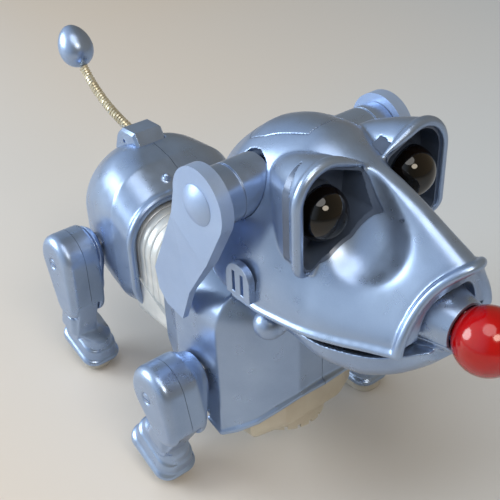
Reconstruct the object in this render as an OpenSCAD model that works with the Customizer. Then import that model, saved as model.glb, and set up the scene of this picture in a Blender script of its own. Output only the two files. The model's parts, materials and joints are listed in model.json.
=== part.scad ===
// Walking robot dog with a turning head, a hinged jaw, swinging ears, a sprung tail and four geared legs.
// Frame: +X towards the nose, +Y towards the dog's left, +Z up. Origin on the floor below the middle.

/* [Head] */
// Height of the ear axis above the floor
ear_z = 177; // [175:1:179]
// Distance of the ear axis ahead of the origin
ear_x = 42; // [40:1:44]
// Half the width of the head across the cheeks
head_half_w = 43; // [41:0.5:44]
// Wall of the head shell
head_wall = 2.4; // [2:0.2:3]
// Radius of the nose ball
nose_r = 14.3; // [12:0.2:15]
// Radius of an eye lens
eye_r = 12; // [11:0.2:12]

/* [Ears] */
// Radius of the round top of an ear flap
ear_r = 17; // [15:0.5:18]
// Thickness of an ear flap
ear_t = 6.4; // [5:0.2:7]
// Length of an ear flap from its axis to its tip
ear_len = 76; // [66:1:78]
// Distance from the mid-plane to the outer face of an ear flap
ear_reach = 56; // [55:0.5:60]
// Radius of the post that carries an ear
ear_post_r = 13; // [11:0.5:14]
// Radius of the steel shaft that joins the ears
ear_shaft_r = 2; // [1.5:0.1:2.5]

/* [Body] */
// Half the width of the rear housing
rear_half_w = 38; // [36:0.5:38]
// Half the width of the chest housing
chest_half_w = 49; // [46:0.5:49]
// Wall of the body housings
body_wall = 2.2; // [2:0.2:3]
// Length of the ribbed waist
waist_len = 26.4; // [25:0.2:28]
// Number of ribs round the waist
waist_ribs = 6; // [4:1:8]

/* [Legs] */
// Radius of a thigh round its hip
hip_r = 15.5; // [14:0.5:17]
// Radius of a thigh round its knee
knee_r = 11; // [10:0.5:12]
// Distance from the hip to the knee
thigh_len = 26; // [24:0.5:28]
// Width of a leg from its inner to its outer face
leg_w = 22; // [20:0.5:23]
// Radius of the shaft that turns a thigh
hip_shaft_r = 4; // [3:0.2:5]
// Radius of the pin of a knee
knee_pin_r = 2.5; // [2:0.1:3]

/* [Tail] */
// Radius of the coil spring of the tail
spring_r = 2.8; // [2.4:0.1:3.2]
// Length of the coil spring that shows
spring_len = 60; // [50:1:66]

/* [Hidden] */
$fn = 48;
clear = 0.3;         // free gap between pieces of different bodies
joint_gap = 0.05;    // radial gap of a pin in its bore
arch_n = 12;         // steps from a rim of the head to its crown
jaw_n = 10;          // steps round the jaw

// Head: places taken from the ear axis
pivot_x = ear_x + 21;
pivot_z = ear_z - 53;
pivot_pin_r = 2;
lug_y = 31;
base_plate_z = ear_z - 48;
base_plate_t = 2.4;
nose_x = ear_x + 109.5;
nose_z = ear_z - 35;
cone_len = 18;
cone_front_r = 11.4;
cone_back_r = 16;
cone_split = 4;
eye_x = ear_x + 44;
eye_y = 25.5;
eye_z = ear_z + 3;
eye_floor = eye_x - 9;
lens_r = eye_r - 0.4;
lens_seat = 6.8;
cup_wall = 1;
arch_x = ear_x + 88;
neck_x = ear_x - 7;
neck_r = 13;
neck_pin_r = 4;
ear_inner = ear_reach - ear_t;
ear_cap_r = 9.6;
ear_cap_h = 3.6;
ear_cap_ball_r = 14.5;

// Body
rim_x = -35;
rim_top = 127;
rim_bottom = 50;
waist_bottom = 56;
rib_pitch = waist_len / waist_ribs;
deck_x = [-100, 38];
deck_half_w = 14;
deck_z = 60;
deck_t = 2;
deck_top = deck_z + deck_t;
hip_rear = [-92, 84];
hip_front = [19, 67.5];
hip_boss_r = 11.5;
foot_shift = [7.5, 2.5];   // how far a rear and a front foot sit nearer to the body than their thigh
hip_boss = [4.2, 7];       // how far the boss of a hip stands off a rear and a front thigh
rear_leg_y = rear_half_w + hip_boss[0] + 0.8;
front_leg_y = chest_half_w + hip_boss[1];
shaft_in = 21;
bush_r = hip_shaft_r + 3;
rear_box_half_w = 27;
front_box_half_w = 40;
front_box_top = 82;
rear_box_top = 94;
board_z = 104;
neck_pin_bottom = 96;
collar_tilt = 20;
collar_z = 112;
grille_x = 28;
grille_r = 24;
grille_bottom = 25;
grille_slots = 20;
battery_x = -52;
battery_r = 7;
battery_len = 50;
switch_x = -66;
switch_travel = 3;

// Legs
front_thigh_len = thigh_len - 9;
knee_plate = 4.4;
knee_drum_r = 9.5;
sole_t = 7;
seam_y = leg_w * 0.44;
knee_clear = 0.6;

// Tail
tail_root = [-94, 140.5];
tail_tilt = 14;
tail_drum_r = 3.6;
tail_drum_h = 6;
mount_half_w = 9.5;
// Side view of the tail mount: [x, z]
mount_side = [[-77.5, 138], [-84, 148], [-96, 147.6], [-102, 142.5], [-105, 134], [-105, 124], [-80, 128]];
tail_pin_r = 1.5;
tail_sway = 12;
tip_len = 25;
tip_r = 10;

// Rear housing: [x, half width, bottom, top, corner radius]
rear_sections = [
    [rim_x - 2, rear_half_w - 0.5, rim_bottom, rim_top, 24],
    [-56, rear_half_w, rim_bottom, 134.5, 25],
    [-78, rear_half_w, rim_bottom, 142, 31],
    [-102, rear_half_w - 4, 54, 134.5, 32],
    [-124, rear_half_w - 16, 68, 114, 20]
];
// Chest housing: the same columns, then the radius of the bottom corners
chest_sections = [
    [-17, chest_half_w - 8, 50, 118, 20, 18],
    [4, chest_half_w - 1, 46, 119, 22, 10],
    [36, chest_half_w - 2, 36.5, 121, 20, 3],
    [49, chest_half_w - 15, 46, 116, 16, 3],
    [59, chest_half_w - 34, 59, 106, 10, 3]
];
// Belly pan
pan_sections = [[-11, 30, 42, 54, 6], [20, 38, 30, 58, 6], [44, 35, 29.5, 58, 6], [54, 20, 37, 58, 6]];

// Head stations: x, half width, bottom, top, share of bell shape, forward lean at the top
head_stations = [
    [-37, 14, -20, -6, 0, 0], [-33, 24, -31, 1, 0, 0], [-24, 35, -42, 9.5, 0, 0],
    [-10, 41.5, -48, 19.5, 0, 0],
    [4, 43, -49, 24, 0, 0], [20, 43, -49, 25.5, 0.05, 0], [34, 42, -48, 21, 0.25, 3],
    [48, 40, -47, 16, 0.6, 6], [62, 36, -45.5, 9.5, 0.75, 9], [76, 31, -43.5, 3, 0.8, 12],
    [88, 27, -42, -3, 0.75, 15]
];
head_last = len(head_stations) - 1;
// Jaw stations: x from the pivot, half width, bottom, top
jaw_stations = [
    [3, 37, -8, -0.5], [14, 36.5, -17, 0], [28, 35, -27, 0.4], [42, 31, -27, 2.5],
    [54, 27, -20, 5], [64, 21, -9, 8], [72, 14, 1, 10]
];
jaw_wall = 2.2;
jaw_side = jaw_stations[0][1];

function unit(v) = v / norm(v);
function bell(t) = 1 - t * t * (3 - 2 * t);
function bell_half(t) = 0.22 * sqrt(max(0, 1 - pow(t, 6))) + 0.78 * pow(bell(t), 1.25);
function arch_half(t, k) = (1 - k) * sqrt(max(0, 1 - t * t)) + k * bell_half(t);
function arch_t(i) = sin(90 * i / arch_n);
function station_point(s, i, side, inset) =
    let (t = arch_t(i), b = s[2], h = s[3] - inset - b, w = (s[1] - inset) / 43 * head_half_w)
    [ear_x + s[0] + s[5] * t, side * w * arch_half(t, s[4]), ear_z + b + h * t];
// One ring of the head: from the right rim over the crown to the left rim
function station_ring(s, inset) = concat(
    [for (i = [0:arch_n]) station_point(s, i, -1, inset)],
    [for (i = [arch_n - 1:-1:0]) station_point(s, i, 1, inset)]);
function end_shift(i, inset) = i == 0 ? inset : i == head_last ? -inset : 0;
function head_station(i, inset) = let (s = head_stations[i])
    [s[0] + end_shift(i, inset), s[1], s[2] - (inset > 0 ? 1 : 0), s[3], s[4], s[5]];
function lip_path(side) = [for (i = [4:head_last]) let (s = head_stations[i])
    [ear_x + s[0], side * (s[1] / 43 * head_half_w - 0.2), ear_z + s[2] + 0.8]];
function jaw_width(a) = cos(a) * (0.55 + 0.45 * sqrt(abs(cos(a))));
function jaw_point(s, a, inset) =
    [pivot_x + s[0], (s[1] - inset) * jaw_width(a),
        pivot_z + s[3] - (s[3] - s[2] - inset) * pow(sin(a), 0.8)];
function jaw_ring(s, inset, lift) = concat(
    [for (i = [0:jaw_n]) jaw_point(s, 180 * i / jaw_n, inset)],
    [for (q = [-1, 1]) [pivot_x + s[0], q * (s[1] - inset), pivot_z + s[3] + lift]]);
function waist_w(i) = rear_half_w - 7 + 0.04 * rib_pitch * i;
function waist_top(i) = rim_top - 9 - 0.25 * rib_pitch * i;
function shaft_end(leg_y) = leg_y - shaft_in;
function knee(len, lean) = [len * sin(lean), -len * cos(lean)];

// Closed solid through a list of rings with equal numbers of points
module loft(rings) {
    n = len(rings[0]);
    m = len(rings);
    points = [for (r = rings) for (p = r) p];
    sides = [for (j = [0:m - 2]) for (i = [0:n - 1])
        let (a = j * n + i, b = j * n + (i + 1) % n) each [[a, b, b + n], [a, b + n, a + n]]];
    first = [[for (i = [n - 1:-1:0]) i]];
    last = [[for (i = [0:n - 1]) (m - 1) * n + i]];
    polyhedron(points, concat(sides, first, last), convexity = 6);
}

// Round bar along a list of points
module bar(path, r, sides = 8) {
    for (i = [0:len(path) - 2]) hull() {
        translate(path[i]) sphere(r, $fn = sides);
        translate(path[i + 1]) sphere(r, $fn = sides);
    }
}

// Puts a right-hand piece on the side asked for: -1 right, 1 left
module sided(side) {
    if (side > 0) mirror([0, 1, 0]) children();
    else children();
}

module along_y(x, z, y0, y1, r) {
    translate([x, y1, z]) rotate([90, 0, 0]) cylinder(r = r, h = y1 - y0);
}

module slab(x, half_w, z0, z1, r, t = 1) {
    round_r = min(r, (z1 - z0) / 2 - 0.1);
    translate([x, 0, (z0 + z1) / 2]) rotate([90, 0, 90]) linear_extrude(t, center = true)
        offset(round_r, $fn = 32) square([2 * (half_w - round_r), z1 - z0 - 2 * round_r], center = true);
}

module housing(sections, inset = 0) {
    last = len(sections) - 1;
    way = sign(sections[last][0] - sections[0][0]);
    hull() for (i = [0:last]) {
        s = sections[i];
        x = s[0] + (i == 0 ? inset : i == last ? -inset : 0) * way;
        slab(x, s[1] - inset, s[2] + inset, s[3] - inset, max(2, s[4] - inset));
        if (s[5]) slab(x, s[1] - inset, s[2] + inset, (s[2] + s[3]) / 2, max(2, s[5] - inset));
    }
}

module half_space(side) {
    translate([-300, side < 0 ? 0 : -400, -50]) cube([600, 400, 400]);
}

// ---------------------------------------------------------------- body
module rear_shell(side) {
    color("lightsteelblue") difference() {
        union() {
            housing(rear_sections);
            rim_lip();
        }
        housing(rear_sections, body_wall);
        rim_opening();
        along_y(hip_rear[0], hip_rear[1], -80, 80, bush_r);
        tail_block();
        translate([switch_x - 2 - switch_travel - clear, -7.3, 44])
            cube([4 + 2 * (switch_travel + clear), 4.6, 12]);
        half_space(side);
    }
}

module rim_opening() slab(rim_x, rear_half_w - body_wall - 3, rim_bottom + 4, rim_top - 6, 20, 12);

module rim_lip() {
    difference() {
        hull() {
            slab(rim_x - 1, rear_half_w + 2.4, rim_bottom - 2, rim_top + 2.4, 25, 1);
            slab(rim_x - 4, rear_half_w + 1.6, rim_bottom - 1, rim_top + 1.6, 25, 3);
        }
        rim_opening();
    }
}

module tail_block() {
    hull() for (step = [0, 1.5]) rotate([90, 0, 0])
        linear_extrude(2 * (mount_half_w - step), center = true)
            offset(delta = step - 1.5) polygon(mount_side);
}

module tail_place() translate([tail_root[0], 0, tail_root[1]]) rotate([0, tail_tilt, 0]) children();

module tail_mount() {
    color("lightsteelblue") difference() {
        tail_block();
        tail_place() {
            cylinder(r = tail_drum_r + clear, h = tail_drum_h + 2 * clear, center = true);
            cylinder(r = tail_pin_r + joint_gap, h = tail_drum_h + 5.4, center = true);
            linear_extrude(2 * (spring_r + 1.2), center = true) polygon([
                [0, -spring_r - 0.5], [-40, -spring_r - 1 - 40 * tan(tail_sway + 1)],
                [-40, spring_r + 1 + 40 * tan(tail_sway + 1)], [0, spring_r + 0.5]]);
        }
    }
}

// Tail path in its own frame: from the drum out to the egg
tail_curve = [for (t = [0:0.04:1]) let (q = 1 - t, b = 2 * q * t)
    [-(0.62 * b + 0.975 * t * t) * spring_len, 0, (0.19 * t * t - 0.06 * b) * spring_len]];
tail_n = len(tail_curve) - 1;
function tail_dir(i) = unit(tail_curve[min(i + 1, tail_n)] - tail_curve[max(i - 1, 0)]);
function coil_ring(p, d, r) = let (u = [0, 1, 0], v = cross(d, u))
    [for (k = [0:11]) p + r * (cos(30 * k) * u - sin(30 * k) * v)];

function tail_step(i) = tail_curve[min(i, tail_n - 1) + 1] - tail_curve[min(i, tail_n - 1)];

module tail_spring() {
    color("ivory") tail_place() {
        cylinder(r = tail_drum_r, h = tail_drum_h, center = true);
        cylinder(r = tail_pin_r, h = tail_drum_h + 4.6, center = true);
        loft([for (i = [0:tail_n]) for (b = [0, 1])
            coil_ring(tail_curve[i] + 0.5 * b * tail_step(i), tail_dir(i), spring_r - 0.6 * b)]);
    }
}

module tail_tip() {
    tip_at = tail_curve[tail_n];
    color("lightsteelblue") tail_place() translate(tip_at + tail_dir(tail_n) * 1.4) rotate([0, -45, 0])
        translate([0, 0, -1]) rotate_extrude() polygon([for (a = [0:7.5:180])
            [max(0, tip_r * sin(a) * (1 + 0.12 * cos(a))), tip_len / 2 - tip_len / 2 * cos(a)]]);
}

module waist_bellows() {
    color("ivory") difference() {
        for (i = [0:waist_ribs - 1]) let (x = rim_x - 3 + rib_pitch * (i + 0.5)) {
            slab(x, waist_w(i), waist_bottom, waist_top(i), 20, rib_pitch);
            slab(x, waist_w(i) + 0.9, waist_bottom - 0.9, waist_top(i) + 0.9, 20, rib_pitch * 0.68);
        }
        for (i = [0:waist_ribs - 1]) let (x = rim_x - 3 + rib_pitch * (i + 0.5), top = waist_top(i) - 3)
            slab(x, waist_w(i) - body_wall, waist_bottom + body_wall, top - body_wall, 18, rib_pitch + 1);
    }
}

module chest_shell(side) {
    end = waist_ribs - 2;
    color("lightsteelblue") difference() {
        housing(chest_sections);
        housing(chest_sections, body_wall);
        slab(chest_sections[0][0], waist_w(end) + 1.3, waist_bottom - 1.3, waist_top(end) + 1.3, 20, 14);
        collar_place() translate([0, 0, -2.2]) linear_extrude(40) collar_outline();
        pan_form();
        along_y(hip_front[0], hip_front[1], -80, 80, bush_r);
        half_space(side);
    }
}

module pan_form(grow = 0) {
    hull() for (s = pan_sections) slab(s[0], s[1] + grow, s[2] - grow, s[3] + grow, s[4]);
}

module belly_pan() {
    color("linen") difference() {
        pan_form();
        pan_form(-body_wall);
        translate([pan_sections[0][0] + 4, -24, 52]) cube([54, 48, 20]);
        translate([grille_x, 0, 0]) cylinder(r = grille_r - 6, h = 60);
    }
}

module speaker_grille() {
    color("linen") difference() {
        translate([grille_x, 0, grille_bottom]) cylinder(r1 = grille_r - 1.5, r2 = grille_r, h = 14);
        translate([grille_x, 0, grille_bottom + 2.4]) cylinder(r = grille_r - 6, h = 20);
        pan_form();
        for (a = [0:360 / grille_slots:359]) translate([grille_x, 0, grille_bottom - 1]) rotate(a)
            translate([grille_r - 5, -0.9, 0]) cube([10, 1.8, 3.4]);
        for (a = [0:30:359]) translate([grille_x, 0, grille_bottom - 1]) rotate(a)
            translate([7, -0.9, 0]) cube([9, 1.8, 5]);
    }
}

module speaker() {
    color("dimgray") translate([grille_x, 0, grille_bottom + 2.4]) {
        cylinder(r = grille_r - 6.6, h = 3);
        translate([0, 0, 3]) cylinder(r1 = grille_r - 7, r2 = 9, h = 5);
        translate([0, 0, 8]) cylinder(r = 9, h = 4);
    }
}

module battery_door() {
    color("linen") difference() {
        slab(rim_x + 8.5, 26, waist_bottom - 11, waist_bottom - 0.9, 3, 17);
        translate([rim_x + 12, 0, waist_bottom - 12]) cylinder(r = 3, h = 3);
        translate([rim_x - 1, -8, waist_bottom - 12]) cube([5, 16, 2]);
    }
}

module batteries() {
    color("darkorange") for (s = [-1, 1]) for (row = [0, 1])
        translate([battery_x, s * (battery_r + 0.1), deck_top + battery_r * (1 + 2 * row)])
            rotate([0, 90, 0]) {
            cylinder(r = battery_r, h = battery_len - 1);
            cylinder(r = 2.7, h = battery_len);
        }
}

module chassis() {
    color("gray") {
        translate([deck_x[0], -deck_half_w, deck_z]) cube([deck_x[1] - deck_x[0], 2 * deck_half_w, deck_t]);
        for (x = [-62, -46]) translate([x, 6, 52.6]) cylinder(r = 3, h = deck_z - 52.6);
    }
}

module shaft_bore(hip, y0, y1) along_y(hip[0], hip[1], y0, y1, hip_shaft_r + joint_gap);

module gearbox_rear() {
    color("gray") difference() {
        union() {
            translate([hip_rear[0] - 12, -deck_half_w, deck_top]) cube([27, 2 * deck_half_w, 12]);
            translate([hip_rear[0] - 12, -rear_box_half_w, deck_top + 12])
                cube([27, 2 * rear_box_half_w, rear_box_top - deck_top - 12]);
        }
        for (s = [-1, 1]) sided(s)
            shaft_bore(hip_rear, -rear_box_half_w - 1, clear - shaft_end(rear_leg_y));
    }
}

module gearbox_front() {
    color("gray") difference() {
        translate([hip_front[0] - 17, -front_box_half_w, deck_top])
            cube([34, 2 * front_box_half_w, front_box_top - deck_top]);
        for (s = [-1, 1]) sided(s)
            shaft_bore(hip_front, -front_box_half_w - 1, clear - shaft_end(front_leg_y));
    }
}

module drive_motor() {
    color("silver") translate([hip_front[0] - 19, 0, front_box_top + 9]) rotate([0, 90, 0])
        cylinder(r = 9, h = 24);
}

module neck_motor() {
    color("gray") difference() {
        translate([neck_x - 10, -12, front_box_top]) cube([20, 24, neck_pin_bottom + 8 - front_box_top]);
        translate([neck_x, 0, neck_pin_bottom - clear]) cylinder(r = neck_pin_r + joint_gap, h = 20);
    }
}

module circuit_board() {
    color("seagreen") {
        translate([-112, -20, board_z]) cube([44, 40, 1.6]);
        for (x = [-104, -90, -78]) translate([x, -8, board_z + 1.6]) cube([8, 10, 2]);
        for (dx = [-8, 10]) translate([hip_rear[0] + dx, 0, rear_box_top])
            cylinder(r = 2, h = board_z - rear_box_top);
    }
}

module hip_bushes() {
    color("silver") for (s = [-1, 1]) {
        bush(hip_rear, rear_leg_y - hip_boss[0] - 0.8, rear_box_half_w, s);
        bush(hip_front, front_leg_y - hip_boss[1] - 0.8, front_box_half_w, s);
    }
}

module bush(hip, y_out, y_in, s) {
    sided(s) difference() {
        along_y(hip[0], hip[1], -y_out, -y_in, bush_r);
        shaft_bore(hip, -y_out - 1, -y_in + 1);
    }
}

module collar_place() translate([neck_x + 3, 0, collar_z]) rotate([0, collar_tilt, 0]) children();

module collar_outline(grow = 0) {
    offset(3 + grow, $fn = 32) polygon([[-17, -17], [4, -17], [19, -7], [19, 7], [4, 17], [-17, 17]]);
}

module neck_collar() {
    color("lightsteelblue") difference() {
        collar_place() translate([0, 0, -2.2]) {
            linear_extrude(2.2) collar_outline();
            linear_extrude(5) difference() {
                collar_outline();
                collar_outline(-2);
            }
        }
        translate([neck_x, 0, collar_z - 30]) cylinder(r = neck_r + 2 * clear, h = 60);
    }
}

module neck_post() {
    color("linen") translate([neck_x, 0, 0]) {
        translate([0, 0, neck_pin_bottom + 8.4])
            cylinder(r = neck_r, h = base_plate_z - neck_pin_bottom - 8.4);
        translate([0, 0, neck_pin_bottom]) cylinder(r = neck_pin_r, h = 10);
    }
}

module power_switch() {
    color("dimgray") {
        translate([switch_x - 2, -7, 47]) cube([4, 4, 7]);
        translate([switch_x - 6.5, -9, 52.8]) cube([13, 7.6, 1.6]);
    }
}

// ---------------------------------------------------------------- head
module head_form(inset = 0) loft([for (i = [0:head_last]) station_ring(head_station(i, inset), inset)]);

module eye_outline(grow = 0) {
    hull() {
        translate([-26, ear_z + 14]) circle(12.5 + grow, $fn = 32);
        translate([-30, ear_z - 11]) circle(8.5 + grow, $fn = 32);
        translate([-20.5, ear_z - 3]) circle(7.5 + grow, $fn = 32);
    }
}

module eye_sheet(x, t, grow) translate([x, 0, 0]) rotate([90, 0, 90]) linear_extrude(t) eye_outline(grow);

module eye_pod() {
    hull() {
        eye_sheet(eye_x + 1, 1, 2);
        eye_sheet(eye_x - 8, 1, 1.4);
        translate([0, 5, -4]) eye_sheet(eye_x - 33, 1, -6);
    }
}

// Bowl between an eye and the bridge of the head
module eye_scoop(grow = 0) {
    hull() {
        translate([eye_x + 21.5, -33, ear_z + 2.5]) sphere(r = 26 + grow, $fn = 64);
        translate([eye_x + 9, -17, ear_z + 19]) sphere(r = 13.4 + grow, $fn = 32);
    }
}

module head_skin(grow = 0) {
    difference() {
        head_form();
        for (s = [-1, 1]) sided(s) eye_scoop(grow);
    }
}

module head_shell() {
    color("lightsteelblue") difference() {
        union() {
            head_skin();
            for (s = [-1, 1]) sided(s) {
                eye_pod();
                difference() {
                    eye_sheet(eye_x + 1, 3, 2);
                    eye_sheet(eye_x, 5, 0);
                }
            }
            bar(station_ring(head_stations[head_last], 0), 2);
            for (s = [-1, 1]) bar(lip_path(s), 1.5);
        }
        difference() {
            head_form(head_wall);
            for (s = [-1, 1]) sided(s) {
                eye_sheet(eye_floor - 2, 40, 1.6);
                eye_scoop(head_wall);
            }
        }
        for (s = [-1, 1]) sided(s) {
            along_y(ear_x, ear_z, -60, -20, ear_post_r);
            eye_sheet(eye_floor, 30, 0);
            translate([eye_floor - 8, -eye_y, eye_z]) rotate([0, 90, 0]) cylinder(r = eye_r - 2, h = 20);
        }
        snout_place() cylinder(r1 = cone_back_r + 1.2, r2 = cone_back_r - 1, h = 30);
        translate([arch_x - 6, -24, ear_z - 60]) cube([40, 48, 60 - 35 - cone_split + 0.5]);
        head_panel_slot();
    }
}

module head_panel_slot(grow = 0) {
    translate([ear_x, 0, ear_z + 12]) linear_extrude(30) offset(delta = grow)
        polygon([[-22, -16], [-4, -16], [17.5, -10], [17.5, 10], [-4, 16], [-22, 16]]);
}

module head_panel() {
    color("lightsteelblue") intersection() {
        difference() {
            head_form(0.15);
            head_form(head_wall);
        }
        head_panel_slot(-0.2);
    }
}

module head_base() {
    color("dimgray") difference() {
        union() {
            translate([0, 0, base_plate_z]) linear_extrude(base_plate_t) hull() {
                translate([ear_x + 6, 0]) circle(r = 27);
                for (i = [3, 5, 6])
                    let (s = head_stations[i], half_w = s[1] / 43 * head_half_w - head_wall - 0.8)
                        translate([ear_x + s[0], 0]) square([2, 2 * half_w], center = true);
                translate([ear_x + 74, 0]) square([2, 44], center = true);
            }
            for (s = [-1, 1]) {
                along_y(pivot_x, pivot_z, s * lug_y - 2, s * lug_y + 2, 5);
                translate([pivot_x - 5, s * lug_y - 2, pivot_z]) cube([10, 4, base_plate_z - pivot_z + 1]);
            }
        }
        along_y(pivot_x, pivot_z, -50, 50, pivot_pin_r);
    }
}

module eye_cup(side) {
    color("slategray") sided(side) difference() {
        intersection() {
            union() {
                difference() {
                    eye_sheet(eye_floor, 30, 0);
                    eye_sheet(eye_floor + cup_wall, 40, -cup_wall);
                }
                translate([eye_floor, -eye_y, eye_z]) rotate([0, 90, 0])
                    cylinder(r1 = eye_r, r2 = lens_r, h = lens_seat);
            }
            eye_sheet(eye_floor, 30, 0);
            union() {
                head_skin(-0.8);
                eye_sheet(eye_floor - 1, 13, 2);
            }
        }
        translate([eye_floor - 1, -eye_y, eye_z]) rotate([0, 90, 0]) cylinder(r = lens_r - 1, h = 20);
        translate([eye_floor + lens_seat, -eye_y, eye_z]) sphere(r = lens_r + 0.1);
    }
}

module eye_lens(side) {
    color("black") sided(side) difference() {
        translate([eye_floor + lens_seat, -eye_y, eye_z]) sphere(r = lens_r);
        translate([eye_floor + lens_seat - 40, -eye_y - 20, eye_z - 20]) cube([40, 40, 40]);
    }
}

module snout_place() translate([nose_x - 11 - cone_len, 0, nose_z]) rotate([0, 90, 0]) children();

module cone_ring() {
    rotate_extrude() polygon([[cone_back_r - 1.8, 0], [cone_back_r, 0], [cone_front_r, cone_len],
        [cone_front_r - 1.6, cone_len], [cone_front_r - 2.4, cone_len - 3], [cone_back_r - 2.6, 0]]);
}

module snout_cone() {
    color("silver") difference() {
        snout_place() cone_ring();
        translate([ear_x + 60, -40, nose_z - 40 - cone_split]) cube([80, 80, 40]);
    }
}

module nose_ball() {
    color("red") translate([nose_x, 0, nose_z]) {
        sphere(r = nose_r, $fn = 64);
        rotate([0, -90, 0]) cylinder(r = 6, h = 24);
    }
}

module cheek_vent(side) {
    color("lightsteelblue") difference() {
        sided(side) difference() {
            union() {
                along_y(ear_x + 12, ear_z - 36, -head_half_w - 3.2, -head_half_w + 0.4, 8);
                translate([ear_x + 4, -head_half_w - 3.2, ear_z - 45.3]) cube([16, 3.6, 9.3]);
            }
            for (dx = [8.2, 13.8]) translate([ear_x + dx, -head_half_w - 4.6, ear_z - 43])
                cube([2, 3.4, 10.5]);
        }
        head_form();
    }
}

module ear_post(side) {
    color("lightsteelblue") sided(side) difference() {
        union() {
            along_y(ear_x, ear_z, -ear_inner + clear, -ear_inner + 9, ear_post_r);
            along_y(ear_x, ear_z, -ear_inner + 9, -ear_inner + 10, ear_post_r - 0.7);
            along_y(ear_x, ear_z, -ear_inner + 10, -24, ear_post_r);
        }
        along_y(ear_x, ear_z, -80, 0, ear_shaft_r + joint_gap);
    }
}

// Slanting face of an ear flap: starts on a line through a point [x, z] that slopes down at an angle
module ear_facet(start, slope, tilt) {
    translate([ear_x + start[0], -ear_inner - ear_t, ear_z + start[1]])
        rotate([0, slope, 0]) rotate([-tilt, 0, 0])
            translate([-40, -20, -120]) cube([140, 20, 120]);
}

// Edge of a flap below its round top: [x, z] from the ear axis
ear_edge = concat(
    [[-ear_r, 0], [-ear_r - 3, -12]],
    ear_len * [[-0.52, -0.67], [-0.51, -0.83], [-0.45, -0.925],
        [-0.31, -0.975], [-0.205, -0.72], [0.05, -0.376]],
    [[ear_r - 1.3, -0.09 * ear_len], [ear_r, 0], [0, ear_r - 4]]);

module ear_flap(side) {
    color("lightsteelblue") sided(side) difference() {
        translate([ear_x, -ear_inner, ear_z]) rotate([90, 0, 0]) linear_extrude(ear_t) union() {
            circle(r = ear_r, $fn = 64);
            polygon(ear_edge);
        }
        along_y(ear_x, ear_z, -ear_inner - ear_t + 2, 0, ear_shaft_r);
        ear_facet([-ear_r - 2, -11], 47, 6);
        ear_facet([-ear_r - 2, -11], 72, 9);
    }
}

module ear_cap(side) {
    color("lightsteelblue") sided(side) translate([ear_x, -ear_inner - ear_t, ear_z])
        rotate([90, 0, 0]) intersection() {
        translate([0, 0, -ear_cap_ball_r + ear_cap_h]) sphere(r = ear_cap_ball_r, $fn = 64);
        cylinder(r = ear_cap_r, h = 10);
    }
}

module ear_shaft() {
    color("silver") along_y(ear_x, ear_z, -ear_inner - ear_t + 2, ear_inner + ear_t - 2, ear_shaft_r);
}

// ---------------------------------------------------------------- jaw
module jaw_tub() {
    n = len(jaw_stations);
    difference() {
        loft([for (s = jaw_stations) jaw_ring(s, 0, 0.1)]);
        loft([for (i = [0:n - 2]) let (s = jaw_stations[i])
            jaw_ring([s[0] - (i == 0 ? 6 : 0), s[1], s[2], s[3]], jaw_wall, 4)]);
    }
}

module jaw_shell() {
    color("lightsteelblue") difference() {
        union() {
            jaw_tub();
            difference() {
                snout_place() cone_ring();
                translate([ear_x + 60, -40, nose_z - cone_split - clear]) cube([80, 80, 60]);
            }
            for (s = [-1, 1]) {
                translate([pivot_x + 2, s * (jaw_side + 1), pivot_z - 4.6]) sphere(r = 7.2, $fn = 32);
                hull() for (d = [0, 8]) translate([pivot_x + d, s * (jaw_side - 1), pivot_z - 2 - 0.5 * d])
                    rotate([90, 0, 0]) cylinder(r = 4.6, h = 3, center = true);
            }
        }
        for (s = [-1, 1]) sided(s) along_y(pivot_x, pivot_z, -lug_y - 2 - clear, -20, 12);
        along_y(pivot_x, pivot_z, -40, 40, pivot_pin_r + joint_gap);
        translate([pivot_x - 20, -60, base_plate_z - 2]) cube([44, 120, 20]);
    }
}

module jaw_pin() {
    color("silver") along_y(pivot_x, pivot_z, -jaw_side - 2, jaw_side + 2, pivot_pin_r);
}

// ---------------------------------------------------------------- legs
// Leg frame: hip axis at x = z = 0, inner face at y = 0, outer face at y = -leg_w
module leg_place(hip, leg_y, side) sided(side) translate([hip[0], -leg_y, hip[1]]) children();

module knee_space(k, aim) {
    for (a = [-aim[1], aim[1]]) hull() for (d = [0, 26])
        along_y(k[0] + d * sin(aim[0] + a), k[1] - d * cos(aim[0] + a), -leg_w + knee_plate, -knee_plate,
            knee_drum_r + knee_clear);
}

module thigh_outer(leg, side) {
    k = knee(leg[2], leg[3]);
    color("lightsteelblue") leg_place(leg[0], leg[1], side) {
        difference() {
            let ($fn = 32) hull() {
                along_y(0, 0, -leg_w + 5, -seam_y, hip_r);
                along_y(0, 0, -leg_w + 1.5, -seam_y, hip_r - 2.4);
                along_y(0, 0, -leg_w, -seam_y, hip_r - 5.5);
                along_y(k[0], k[1], -leg_w + 2.4, -seam_y, knee_r);
                along_y(k[0], k[1], -leg_w + 0.6, -seam_y, knee_r - 3.4);
            }
            knee_space(k, leg[4]);
            along_y(-1, -1, -leg_w - 1, -leg_w + 1, 3.4);
            along_y(k[0], k[1], -leg_w + 2.4, 0, knee_pin_r);
        }
        along_y(-1, -1, -leg_w + 0.3, -leg_w + 1, 3);
    }
}

module thigh_inner(leg, side) {
    k = knee(leg[2], leg[3]);
    color("lightsteelblue") leg_place(leg[0], leg[1], side) {
        difference() {
            let ($fn = 32) hull() {
                along_y(0, 0, -seam_y, -2, hip_r);
                along_y(0, 0, -seam_y, 0.6, hip_r - 1.2);
                along_y(0, 0, -seam_y, leg[7], hip_boss_r);
                along_y(k[0], k[1], -seam_y, -1.5, knee_r);
            }
            knee_space(k, leg[4]);
        }
        along_y(0, 0, -1, shaft_in, hip_shaft_r);
        along_y(k[0], k[1], -leg_w + 2.4, -1.6, knee_pin_r);
    }
}

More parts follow.
